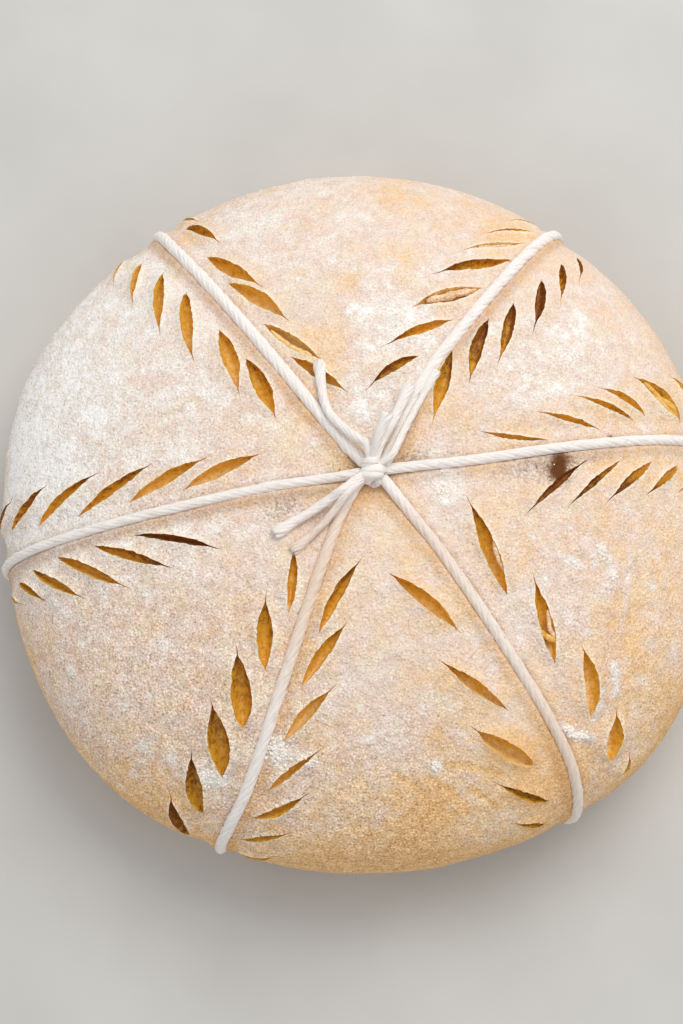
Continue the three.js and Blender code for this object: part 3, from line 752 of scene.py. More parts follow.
def facesInCuts(flat, faces, edgeCount, wallCount):        # which faces lie in a cut
    number = np.arange(len(flat))
    isEdge = number < edgeCount
    isWall = (number >= edgeCount) & (number < edgeCount + wallCount)
    opened = isWall[faces].any(1)
    edgeOnly = np.flatnonzero(isEdge[faces].all(1))
    opened[edgeOnly] = insideAnyCut(flat[faces[edgeOnly]].mean(1), 0)
    return opened


def markSharp(mesh, lines):        # edges across which the shading breaks
    corners = np.zeros(len(mesh.edges) * 2, np.int32)
    mesh.edges.foreach_get("vertices", corners)
    key = [len(mesh.vertices), 1]        # makes one number of each pair of points
    sharp = np.isin(np.sort(corners.reshape(-1, 2), 1) @ key, np.sort(lines, 1) @ key)
    mesh.attributes.new("sharp_edge", "BOOLEAN", "EDGE").data.foreach_set("value", sharp)


def cutLayers(flat):        # the tone of the dough in each cut with its painted shade, and the pale lip around it
    cutToneAndShade, lip = np.zeros(len(flat)), np.zeros(len(flat))
    for cut in cuts:
        near = nearCut(cut, flat, cutting["nearMargin"])
        distance, share = outsideCut(cut, flat[near])
        lip[near] = np.maximum(lip[near], cut["lip"] * bell(distance, flour["lipWidth"]) * np.sqrt(share))
        within = near.copy()
        within[near] = distance < cutting["edgeTolerance"]
        cutToneAndShade[within] = shadedCutTones(cut, flat[within])
    return cutToneAndShade, lip


def gritAndShadeAt(flat, points):        # how strongly the flour's grain shows: its own grain, and painted shade that grows towards the bottom and left, away from the light
    gritAndShade = np.interp(points[:, 1], flour["gritUp"], flour["gritUpShares"])
    gritAndShade *= np.interp(points[:, 0], flour["gritRight"], flour["gritRightShares"])
    return gritAndShade * (1 + spotSum(flour["gritSpots"], flat))


def stringShadeAt(flat):        # painted shadow: brown bands along the lower side of each string, away from the light
    return sum(share * belowString(name, flat, flour["stringShadeAt"], flour["stringShadeWidth"])
               for name, share in flour["stringBand"].items())


def makeDough(material, insideMaterial):
    flat, edgeCount, depths, loops = topNet()
    faces = triangulate(flat, loops.tolist())
    opened = facesInCuts(flat, faces, edgeCount, len(depths))
    points, dusted = skinSurface(flat)
    wall = slice(edgeCount, edgeCount + len(depths))
    points[wall] -= skinNormals(flat[wall]) * depths[:, None]
    low = points[:, 2] < 2 * stringLowest        # near the floor, where the strings go under
    points[low, 2] = np.maximum(points[low, 2], slotRoof(points[low]))
    rim = np.arange(len(flat) - doughNet["rimPoints"], len(flat))
    base, baseFaces = makeBase(points[rim])
    joined = np.concatenate([rim, np.arange(len(base) - len(rim)) + len(points)])
    allPoints = np.concatenate([points, base[len(rim):]])
    allFaces = np.concatenate([faces, joined[baseFaces][:, ::-1]])
    piece = makePiece("scoredLoaf", allPoints, allFaces.tolist(), material, "dough")
    piece.data.materials.append(insideMaterial)
    slots = np.concatenate([opened, np.zeros(len(baseFaces), bool)])
    piece.data.polygons.foreach_set("material_index", slots.astype(np.int32))
    markSharp(piece.data, loops)
    cutToneAndShade, lip = cutLayers(flat)
    layers = {
        "dusted": dusted, "stainAndShade": spotSum(flour["stainsAndShade"], flat), "lip": lip,
        # painted shadow beside the strings, and each cut's tone with its painted shade
        "stringBand": stringShadeAt(flat), "cutToneAndShade": cutToneAndShade,
    }
    extra = len(allPoints) - len(points)
    for name, values in layers.items():
        paint(piece, name, np.concatenate([values, np.zeros(extra)]))
    paint(piece, "gritAndShade", np.concatenate([gritAndShadeAt(flat, points), np.ones(extra)]))
    print("dough net:", len(allPoints), "points,", len(allFaces), "faces,", int(opened.sum()), "in cuts")


def makeBase(rim):        # the flat underside, with a slot over each string
    rows = []
    for bearing, _ in underEnds:
        along = np.arange(doughNet["slotRowStart"], loaf["baseRadius"], doughNet["slotRowStep"])
        for aside in doughNet["slotRows"]:
            rows.append(np.stack([along * math.cos(bearing) - aside * math.sin(bearing),
                                  along * math.sin(bearing) + aside * math.cos(bearing)], 1))
    rows = np.concatenate(rows)
    reach = np.hypot(*rim[:, :2].T).min() - doughNet["baseMargin"]
    rows = rows[np.hypot(*rows.T) < reach]
    thinned = [rim[:, :2]]
    for part in np.array_split(rows, len(underEnds)):
        taken = np.concatenate(thinned)
        thinned.append(part[apartFrom(part, taken, doughNet["slotGap"])])
    taken = np.concatenate(thinned)
    grid = hexGrid(doughNet["baseSpacing"], 0, reach)
    grid = grid[apartFrom(grid, taken, doughNet["baseGap"] * doughNet["baseSpacing"])]
    flat = np.concatenate([taken, grid])
    faces = triangulate(flat, [])
    base = np.column_stack([flat, np.zeros(len(flat))])
    base[len(rim):, 2] = slotRoof(base[len(rim):])
    return base, faces


# Tubes, folds of dough and twisted string

steepFrom = 0.8        # slope of a tube above which its first ring is set out by another axis
tubeShift = 37        # mm between the fibre patterns of tubes that lie side by side


def tubes(paths, radii, sides):        # round tubes along several paths of the same number of points
    count, steps = radii.shape
    tangents = unit(np.gradient(paths, axis=1))
    level = np.abs(tangents[:, 0, 2:]) < steepFrom
    across = unit(np.cross(tangents[:, 0], np.where(level, [[0, 0, 1]], [[1, 0, 0]])))
    turn = 2 * math.pi * np.arange(sides) / sides
    rings = np.zeros((count, steps, sides, 3))
    for step in range(steps):
        tangent = tangents[:, step]
        across = unit(across - (across * tangent).sum(1, keepdims=True) * tangent)
        up = np.cross(tangent, across)
        ring = across[:, None] * np.cos(turn)[:, None] + up[:, None] * np.sin(turn)[:, None]
        rings[:, step] = paths[:, step, None] + ring * radii[:, step, None, None]
    index = np.arange(count * steps * sides).reshape(count, steps, sides)
    ahead = np.roll(index, -1, axis=2)
    walls = np.stack([index[:, :-1], ahead[:, :-1], ahead[:, 1:], index[:, 1:]], -1).reshape(-1, 4)
    caps = np.concatenate([index[:, 0, ::-1], index[:, -1]])
    fibre = np.zeros_like(rings)        # where each point is on its tube: around it, and mm along it
    fibre[..., 0], fibre[..., 1] = np.cos(turn), np.sin(turn)
    fibre[:, 1:, :, 2] = np.cumsum(np.linalg.norm(np.diff(paths, axis=1), axis=2), axis=1)[..., None]
    fibre[..., 2] += tubeShift * np.arange(count)[:, None, None]
    return rings.reshape(-1, 3), walls.tolist() + caps.tolist(), fibre.reshape(-1, 3)


def joinParts(parts):
    faces, start = [], 0
    for points, some, _ in parts:
        faces += [[corner + start for corner in face] for face in some]
        start += len(points)
    allPoints = np.concatenate([points for points, _, _ in parts])
    return allPoints, faces, np.concatenate([fibre for _, _, fibre in parts])


strands = {
    "radius": 0.6, "sides": 10, "sunk": 0.8, "step": 0.4, "taper": 0.6, "taperPower": 4, "lumpy": 0.3,
    "lumpSize": 1.8, "seed": 71, "dusted": 0.36,
    "folds": [        # which cut, places along and across it as shares of its size, thickness and tone
        (("lowerRight", 1, 1), [(0.15, -1.1), (0.35, -0.1), (0.5, 1.1)], 1.4, 0.66),
        (("upperLeft", -1, 1), [(-0.8, 0.5), (0, 0.6), (0.75, 0.35)], 1.3, 0.95),
        (("right", 1, 4), [(-0.75, 0.45), (-0.1, 0.1), (0.4, 0.45), (0.92, 0.2)], 1.7, 0.62),
        (("right", 1, 4), [(-0.35, -0.35), (0.2, -0.25), (0.85, -0.45)], 1.1, 0.74),
    ],
    "skinFolds": [        # the same, for folds that show floured skin
        (("upperRight", 1, 2), [(-0.7, 0.3), (-0.2, 0.1), (0.3, 0.25), (0.85, 0.1)], 1.9, 0),
        (("upperRight", 1, 4), [(-0.6, 0.3), (0.1, 0.1), (0.7, 0.2)], 1.1, 0),
        (("lowerRight", 1, 1), [(-0.3, 0.95), (0, 0.6), (0.2, 0.55), (0.4, 0.95)], 1.2, 0),
        (("lowerRight", 1, 0), [(-0.15, 1), (0.1, 0.75), (0.3, 0.7), (0.5, 1)], 1.1, 0),
    ],
}


def makeStrands(name, folded, material):        # folds of dough that cross or line the widest cuts
    parts, tones = [], []
    for which, places, thickness, tone in folded:
        cut = next(cut for cut in cuts if cut["which"] == which)
        along, across = splinePath(places).T
        x = along * cut["half"]
        flat = cutFlat(cut, x, across * halfOpening(cut, x, 1))
        path = evenPath(skinSurface(flat)[0] - skinNormals(flat) * strands["sunk"], strands["step"])
        share = np.linspace(-1, 1, len(path))
        lumpy = 1 + strands["lumpy"] * lumps(path, strands["lumpSize"], strands["seed"])
        tapered = 1 - strands["taper"] * share ** strands["taperPower"]
        radius = strands["radius"] * thickness * tapered * lumpy
        parts.append(tubes(path[None], radius[None], strands["sides"]))
        tones.append(np.full(len(parts[-1][0]), tone))
    points, faces, _ = joinParts(parts)
    piece = makePiece(name, points, faces, material)
    paint(piece, "cutToneAndShade", np.concatenate(tones))
    paint(piece, "dusted", np.full(len(points), strands["dusted"]))
    paint(piece, "gritAndShade", np.ones(len(points)))
    print("folds in cuts made:", len(parts))


twist = {
    "plies": 7, "pitch": 18, "plyOffset": 0.76, "plyRadius": 0.89, "sides": 8,
    "seed": 41, "wanderSeed": 42,
    "uneven": 0.16, "unevenSize": 4, "wander": 0.5, "wanderSize": 15, "plyShift": 13, "stringShift": 7,
    "changeFrom": 0.4, "changeTo": 0.6,
    "hairsPerMm": 4.6, "hairLength": (0.6, 2), "hairRadius": 0.032, "hairSteps": 4, "hairTaper": 0.6,
    "hairRoot": 0.88, "hairLean": (0.6, 2), "hairLift": (0.1, 0.6), "hairStray": 0.25, "hairCurl": 0.35,
}
frameStart = [0.3, 0.2, 0.93]        # lies along none of the paths where they start
fibreSides = 4


def pathFrames(path):        # the directions along, across and up from each point of a path
    tangents = unit(np.gradient(path, axis=0))
    across = np.zeros_like(path)
    current = unit(np.cross(tangents[0], frameStart))
    for step, tangent in enumerate(tangents):
        current = unit(current - (current @ tangent) * tangent)
        across[step] = current
    return tangents, across, np.cross(tangents, across)


def widths(count, thickness, flare=0):        # from the thickness at one end to that at the other
    share = np.linspace(0, 1, count)
    change = (thickness[1] - thickness[0]) * smoothStep(share, twist["changeFrom"], twist["changeTo"])
    swell = flare * smoothStep(share, knot["flareStart"], 1)
    rounded = (knot["tipRound"] if flare else 0) * smoothStep(share, knot["tipFrom"], 1) ** 2
    return (thickness[0] + change + swell) * (1 - rounded)


def twistedString(path, seed, thickness, flare=0):        # plies twisted round a path
    path = evenPath(path, strings["step"])
    _, across, up = pathFrames(path)
    run = np.arange(len(path)) * strings["step"]
    scale = widths(len(path), thickness, flare)
    splay = smoothStep(run, run[-1] - knot["splayLength"], run[-1]) if flare else 0 * run
    plies, radii = [], []
    for ply in range(twist["plies"]):
        shifts = twist["plyShift"] * ply, twist["stringShift"] * seed
        line = np.stack([run, *[np.full(len(run), shift) for shift in shifts]], 1)
        turn = 2 * math.pi * (ply / twist["plies"] + run / twist["pitch"])
        turn += twist["wander"] * lumps(line, twist["wanderSize"], twist["wanderSeed"])
        reach = twist["plyOffset"] * scale * (1 + knot["splay"] * splay)
        uneven = 1 + twist["uneven"] * lumps(line, twist["unevenSize"], twist["seed"])
        plies.append(path + (across * np.cos(turn)[:, None] + up * np.sin(turn)[:, None]) * reach[:, None])
        radii.append(twist["plyRadius"] * scale * uneven * (1 - knot["splayThin"] * splay))
    plies.append(path)
    radii.append(twist["plyOffset"] * scale)
    return tubes(np.array(plies), np.array(radii), twist["sides"])


def fibreTubes(roots, heading, curl, length, radii):        # fine bent fibres
    share = np.linspace(0, 1, len(radii))
    bent = (heading[:, None] + curl[:, None] * share[:, None]) * share[:, None]
    paths = roots[:, None] + bent * length[:, None, None]
    return tubes(paths, np.tile(radii, (len(roots), 1)), fibreSides)


def stringHairs(path, seed, thickness):        # the fuzz of fine fibres that stands off the string
    path = evenPath(path, strings["step"])
    tangents, across, up = pathFrames(path)
    draw = np.random.default_rng(seed)
    count = int(len(path) * strings["step"] * twist["hairsPerMm"])
    at = draw.integers(1, len(path) - 1, count)
    turn = draw.uniform(0, 2 * math.pi, count)[:, None]
    outward = across[at] * np.cos(turn) + up[at] * np.sin(turn)
    stand = strings["radius"] * twist["hairRoot"] * widths(len(path), thickness)[at, None]
    way = draw.choice([-1, 1], count)[:, None]
    lean = tangents[at] * way * draw.uniform(*twist["hairLean"], count)[:, None]
    lift = outward * draw.uniform(*twist["hairLift"], count)[:, None]
    heading = unit(lift + lean + draw.normal(0, twist["hairStray"], (count, 3)))
    curl = draw.normal(0, twist["hairCurl"], (count, 3))
    length = draw.uniform(*twist["hairLength"], count)
    radii = twist["hairRadius"] * np.linspace(1, 1 - twist["hairTaper"], twist["hairSteps"])
    return fibreTubes(path[at] + outward * stand, heading, curl, length, radii)


def warmthAt(points):        # the string's colour is made warmer and darker below the knot
    below = smoothStep(-points[:, 1], *stringFinish["warmBelow"])
    return below * sum(strength * bell(np.linalg.norm(points - place, axis=1), reach)
                       for *place, reach, strength in stringFinish["warmPlaces"])


def makeString(order, material):
    path = stringPaths[order]
    thickness = [strings["thickness"][end] for end in strings["ends"][order]]
    fuzz = stringHairs(path, twist["seed"] + order, thickness)
    points, faces, fibre = joinParts([twistedString(path, order, thickness), fuzz])
    points[:, 2] = np.maximum(points[:, 2], strings["lowestFibre"])
    number = order + 1
    piece = makePiece(f"twistedString{number}", points, faces, material, f"string_{number}")
    paint(piece, "fibre", fibre)
    paint(piece, "warm", warmthAt(points))
    print("string", number, "made:", len(faces), "faces")


# The knot: wraps of string around a short barrel, and six loose ends that fray

knot = {
    "lift": 3.3, "lean": 14, "length": 9, "scale": (1.25, 0.85), "coilPoints": 160,
    "wraps": -1.9, "wrapRadius": 1.9, "wrapTaper": 0.75, "wrapTaperPower": 6,
    "seed": 53, "coilSeed": 9, "tailSeed": 20, "hairSeed": 63, "brushSeed": 83,
    "tailRadius": 1.5, "tailLift": 4.4, "tailFall": 1.6, "tailEvery": 6, "tailStep": 0.5,
    "tailScale": (0.76, 0.62, 0.8, 0.8, 0.74, 0.6), "tailWarmth": (0.1, 1, 1, 1, 1, 1),
    "flareStart": 0.75, "flare": 0.3, "tipRound": 0.1, "tipFrom": 0.93,
    "splay": 0.6, "splayThin": 0.4, "splayLength": 4,
    "brushFibres": 34, "brushLength": (0.3, 1), "fibreRadius": 0.06, "spread": 0.5, "brushRoot": 0.6,
    "brushReach": 0.9, "brushStray": 0.12, "brushCurl": 0.15, "brushSteps": 5, "brushTaper": 0.5,
    "tails": [        # places on the flat skin, and how high the end stands above it
        ([(-4, -5), (-12, -10), (-22, -16)], -0.6),
        ([(-3, -6), (-9.6, -13.4), (-17.4, -20.4)], -0.8),
        ([(4, 5), (5, 9), (6.5, 15)], 9),
        ([(5, 6), (8.5, 14), (13.2, 24.5)], 2.5),
        ([(2, 7), (-2.2, 10.8), (-8.2, 17.4), (-10, 25.2), (-10.6, 31.5)], 0),
        ([(8.6, 4.2), (13.2, 13.8), (21.2, 29.6)], 0),
    ],
}


def splinePath(points, pieces=12):        # a smooth line through a few points
    points = np.asarray(points, float)
    padded = np.concatenate([2 * points[:1] - points[1:2], points, 2 * points[-1:] - points[-2:-1]])
    t = np.linspace(0, 1, pieces, endpoint=False)[:, None]
    line = []
    for a, b, c, d in zip(padded, padded[1:], padded[2:], padded[3:]):
        square = t ** 2 * (a - 2.5 * b + 2 * c - d / 2)
        cube = t ** 3 * (1.5 * (b - c) + (d - a) / 2)
        line.append(b + t * (c - a) / 2 + square + cube)
    return np.concatenate([*line, points[-1:]])


def knotCentre():        # above the skin where the strings meet
    flat = knotPlace[None]
    return (skinPoints(flat) + skinNormals(flat) * knot["lift"])[0]


def tailPath(places, lift):        # from the knot out over the skin
    flat = splinePath(places)
    share = np.linspace(0, 1, len(flat))
    height = knot["tailRadius"] + lift + (knot["tailLift"] - lift) * (1 - share) ** knot["tailFall"]
    line = skinPoints(flat) + skinNormals(flat) * height[:, None]
    whole = np.concatenate([knotCentre()[None], line[::knot["tailEvery"]]])
    return evenPath(splinePath(whole), knot["tailStep"])


def frayedEnd(path, seed, scale):        # a short brush of fibres at the end of a loose string
    draw = np.random.default_rng(seed)
    tangents, across, up = pathFrames(path)
    count = knot["brushFibres"]
    turn = draw.uniform(0, 2 * math.pi, count)[:, None]
    reach = np.sqrt(draw.uniform(0, 1, count))[:, None]
    outward = across[-1] * np.cos(turn) + up[-1] * np.sin(turn)
    wide = strings["radius"] * (scale + knot["flare"]) * knot["brushReach"]
    roots = path[-1] - tangents[-1] * knot["brushRoot"] + outward * reach * wide
    stray = draw.normal(0, knot["brushStray"], (count, 3))
    heading = unit(tangents[-1] + outward * reach * knot["spread"] + stray)
    curl = draw.normal(0, knot["brushCurl"], (count, 3))
    length = draw.uniform(*knot["brushLength"], count)
    radii = knot["fibreRadius"] * np.linspace(1, 1 - knot["brushTaper"], knot["brushSteps"])
    return fibreTubes(roots, heading, curl, length, radii)


def makeKnot(material):
    centre = knotCentre()
    lean = math.radians(knot["lean"])
    axis = np.array([0, math.cos(lean), math.sin(lean)])
    side = np.array([1, 0, 0])
    top = np.cross(side, axis)
    share = np.linspace(-0.5, 0.5, knot["coilPoints"])[:, None]
    turn = 2 * math.pi * knot["wraps"] * share
    coil = centre + axis * share * (knot["length"] - 2 * strings["radius"])
    wrapRadius = knot["wrapRadius"] * (1 - knot["wrapTaper"] * (2 * share) ** knot["wrapTaperPower"])
    coil = coil + (side * np.cos(turn) + top * np.sin(turn)) * wrapRadius
    parts = [twistedString(coil, knot["coilSeed"], knot["scale"])]
    parts.append(stringHairs(coil, knot["seed"], knot["scale"]))
    warmth = [warmthAt(part[0]) for part in parts]
    for number, (places, lift) in enumerate(knot["tails"]):
        path = tailPath(places, lift)
        scale = knot["tailScale"][number]
        parts.append(twistedString(path, knot["tailSeed"] + number, (scale, scale), knot["flare"]))
        parts.append(stringHairs(path, knot["hairSeed"] + number, (scale, scale)))
        parts.append(frayedEnd(path, knot["brushSeed"] + number, scale))
        warmth += [knot["tailWarmth"][number] * warmthAt(part[0]) for part in parts[-3:]]
    points, faces, fibre = joinParts(parts)
    piece = makePiece("knotAndEnds", points, faces, material, "knot")
    paint(piece, "fibre", fibre)
    paint(piece, "warm", np.concatenate(warmth))
    print("knot made:", len(faces), "faces")


# Flour crumbs: small lumps that lie on the skin, most where it is thickly dusted

crumbs = {
    "seed": 61, "scattered": 14000, "least": 0.45, "keepGain": 1.6, "reach": 122,
    "perCut": 12, "edgeReach": (0.2, 1.2), "sizes": (0.09, 0.32), "sizePower": 3,
    "stretch": (0.6, 1.2), "uneven": (0.75, 1.15), "sideSlack": 1.01,
    "heapSizes": (0.22, 0.62), "heapPower": 2, "heapSpread": 1.6,
    "heaps": [        # u, v, radius and number of lumps
        (-22, -73.6, 2.9, 190), (-13.6, -75.4, 1.5, 70), (-39, -79.4, 2.1, 100), (20.3, -76.2, 1.2, 26),
        (55, -65.4, 1.3, 40), (58.6, -66.4, 1.4, 50), (63, -19, 1.3, 30), (66, -25, 1.2, 24),
        (21, -4, 1.8, 36),
    ],
}


def lumpShape():        # a twenty-sided lump
    golden = (1 + math.sqrt(5)) / 2
    corners = []
    for a in (-1, 1):
        for b in (-golden, golden):
            corners += [(0, a, b), (a, b, 0), (b, 0, a)]
    corners = unit(np.array(corners, float))
    gaps = np.linalg.norm(corners[:, None] - corners[None], axis=2)
    nearest = np.sort(gaps, 1)[:, 1].max()
    side = nearest * crumbs["sideSlack"]
    count = len(corners)
    faces = []
    for a in range(count):
        for b in range(a + 1, count):
            for c in range(b + 1, count):
                if max(gaps[a, b], gaps[b, c], gaps[a, c]) < side:
                    normal = np.cross(corners[b] - corners[a], corners[c] - corners[a])
                    flip = np.dot(normal, corners[a]) < 0
                    faces.append((a, c, b) if flip else (a, b, c))
    return corners, np.array(faces)


def makeCrumbs(material):
    draw = np.random.default_rng(crumbs["seed"])
    arc = crumbs["reach"] * np.sqrt(draw.uniform(0, 1, crumbs["scattered"]))
    turn = draw.uniform(0, 2 * math.pi, crumbs["scattered"])
    flat = [np.stack([arc * np.cos(turn), arc * np.sin(turn)], 1)]
    for cut in cuts:
        x = draw.uniform(-1, 1, crumbs["perCut"]) * cut["half"]
        side = draw.choice([-1, 1], crumbs["perCut"])
        opening = np.where(side > 0, halfOpening(cut, x, 1), halfOpening(cut, x, -1))
        outward = draw.uniform(*crumbs["edgeReach"], crumbs["perCut"])
        flat.append(cutFlat(cut, x, side * (opening + outward)))
    flat = np.concatenate(flat)
    points, dusted = skinSurface(flat)
    chance = (dusted - crumbs["least"]) * crumbs["keepGain"]
    kept = (draw.uniform(0, 1, len(flat)) < chance) & ~insideAnyCut(flat)
    kept &= stringDistance(flat) > strings["radius"]
    points = [points[kept]]
    share = draw.uniform(0, 1, kept.sum()) ** crumbs["sizePower"]
    sizes = [np.interp(share, [0, 1], crumbs["sizes"])]
    for heapU, heapV, radius, number in crumbs["heaps"]:
        around = draw.normal(0, radius / crumbs["heapSpread"], (number, 2)) + [heapU, heapV]
        around = around[~insideAnyCut(around)]
        points.append(skinSurface(around)[0])
        share = draw.uniform(0, 1, len(around)) ** crumbs["heapPower"]
        sizes.append(np.interp(share, [0, 1], crumbs["heapSizes"]))
    points, size = np.concatenate(points), np.concatenate(sizes)
    count = len(points)
    corners, faces = lumpShape()
    stretch = draw.uniform(*crumbs["stretch"], (count, 1, 3))
    uneven = draw.uniform(*crumbs["uneven"], (count, len(corners), 1))
    spins = draw.normal(0, 1, (count, 3, 3))
    spins = np.linalg.qr(spins)[0]
    spins[np.linalg.det(spins) < 0, :, 0] *= -1
    shaped = (corners[None] * uneven * stretch) @ spins
    everything = (points[:, None] + shaped * size[:, None, None]).reshape(-1, 3)
    index = faces[None] + np.arange(count)[:, None, None] * len(corners)
    makePiece("flourCrumbs", everything, index.reshape(-1, 3).tolist(), material)
    print("crumbs made:", count)


# Materials

def linear(red, green, blue):        # a colour as seen on a screen, to the numbers a shader takes
    shares = np.array([red, green, blue]) / 255
    return (*np.where(shares <= 0.04045, shares / 12.92, ((shares + 0.055) / 1.055) ** 2.4), 1)


class Nodes:        # short ways to add and join a material's nodes
    def __init__(self, name):
        self.material = bpy.data.materials.new(name)
        self.material.use_nodes = True
        self.tree = self.material.node_tree
        self.shader = self.tree.nodes["Principled BSDF"]

    def add(self, kind, links=None, **settings):
        node = self.tree.nodes.new(kind)
        for key, value in settings.items():
            setattr(node, key, value)
        for socket, value in (links or {}).items():
            self.feed(node.inputs[socket], value)
        return node

    def feed(self, socket, value):
        if isinstance(value, bpy.types.NodeSocket):
            self.tree.links.new(value, socket)
        else:
            socket.default_value = value

    def noise(self, sizeMm, detail=2, roughness=0.5):
        place = self.add("ShaderNodeTexCoord").outputs["Object"]
        scale = 1 / (sizeMm * metresPerMm)
        links = {"Vector": place, "Scale": scale, "Detail": detail, "Roughness": roughness}
        return self.add("ShaderNodeTexNoise", links).outputs["Fac"]

    def centred(self, sizeMm, detail=2):        # rougher noise, from about -0.5 to 0.5
        return self.math("SUBTRACT", self.noise(sizeMm, detail, roughness=0.6), 0.5)

    def painted(self, name):
        return self.add("ShaderNodeAttribute", attribute_name=name).outputs["Fac"]

    def math(self, operation, *values):
        return self.add("ShaderNodeMath", dict(enumerate(values)), operation=operation).outputs[0]

    def ramp(self, value, low, high, newLow=0.0, newHigh=1.0):
        links = {"Value": value, "From Min": low, "From Max": high, "To Min": newLow, "To Max": newHigh}
        return self.add("ShaderNodeMapRange", links, interpolation_type="SMOOTHSTEP").outputs["Result"]

    def fade(self, value, low, high):        # a ramp from 1 down to 0
        return self.ramp(value, low, high, 1.0, 0.0)

    def mix(self, share, first, second, blend="MIX"):
        node = self.add("ShaderNodeMix", data_type="RGBA", blend_type=blend)
        self.feed(node.inputs["Factor"], share)
        self.feed(node.inputs[6], first)        # by number, as other sockets have the same names
        self.feed(node.inputs[7], second)
        return node.outputs[2]

    def bumps(self, height, strength, distanceMm):
        links = {"Height": height, "Strength": strength, "Distance": distanceMm * metresPerMm}
        return self.add("ShaderNodeBump", links).outputs["Normal"]

    def surface(self, inputs):        # the finished material
        for socket, value in inputs.items():
            self.feed(self.shader.inputs[socket], value)
        return self.material


doughFinish = {
    "dough": (249, 213, 168), "deepDough": (243, 197, 141),
    "deepSize": 18, "deepFrom": 0.35, "deepTo": 0.7, "bareFrom": 0.02, "bareTo": 0.34,
    "doughFrom": 0.1, "doughTo": 0.72,
    "pinkFlour": (240, 219, 207), "creamFlour": (242, 223, 200),
    "tintSize": 6, "tintFrom": 0.44, "tintTo": 0.68,
    "thickFlour": (248, 243, 238), "thickFrom": 0.6, "thickTo": 1.05,
    "clumpSize": 9, "clump": 0.4, "clumpDetail": 4, "patchSize": 3, "patch": 0.62, "patchDetail": 4,
    "grainSize": 0.5, "grain": 0.22, "grainDetail": 1,
    "speckleSize": 0.56, "gap": (0.66, 0.57, 0.48, 1), "gapFrom": 0.26, "gapTo": 0.5,
    "tip": (0.34, 0.3, 0.25, 1), "tipFrom": 0.54, "tipTo": 0.74,
    "blotch": (0.87, 0.84, 0.8, 1), "blotchSize": 2.8, "blotchFrom": 0.3, "blotchTo": 0.66,
    "heap": (254, 252, 250), "heapSize": 1.3, "heapFrom": 0.98, "heapTo": 1.15, "heapGrit": -0.85,
    # after the lip colour: the painted shadow that is multiplied in beside each string
    "lip": (254, 241, 218), "lipShare": 0.75, "stringBand": (0.74, 0.66, 0.59, 1),
    "stainAndShade": (104, 62, 30), "stainSize": 0.8, "stainTo": 1.3, "stainEdge": 5, "stainGrain": 0.7,
    "roughness": 0.9, "gloss": 0.2,
    "bumpSize": 1.8, "bumpShare": 1.5, "fineBumpSize": 0.6, "bumpStrength": 0.95, "bumpDepth": 0.45,
}


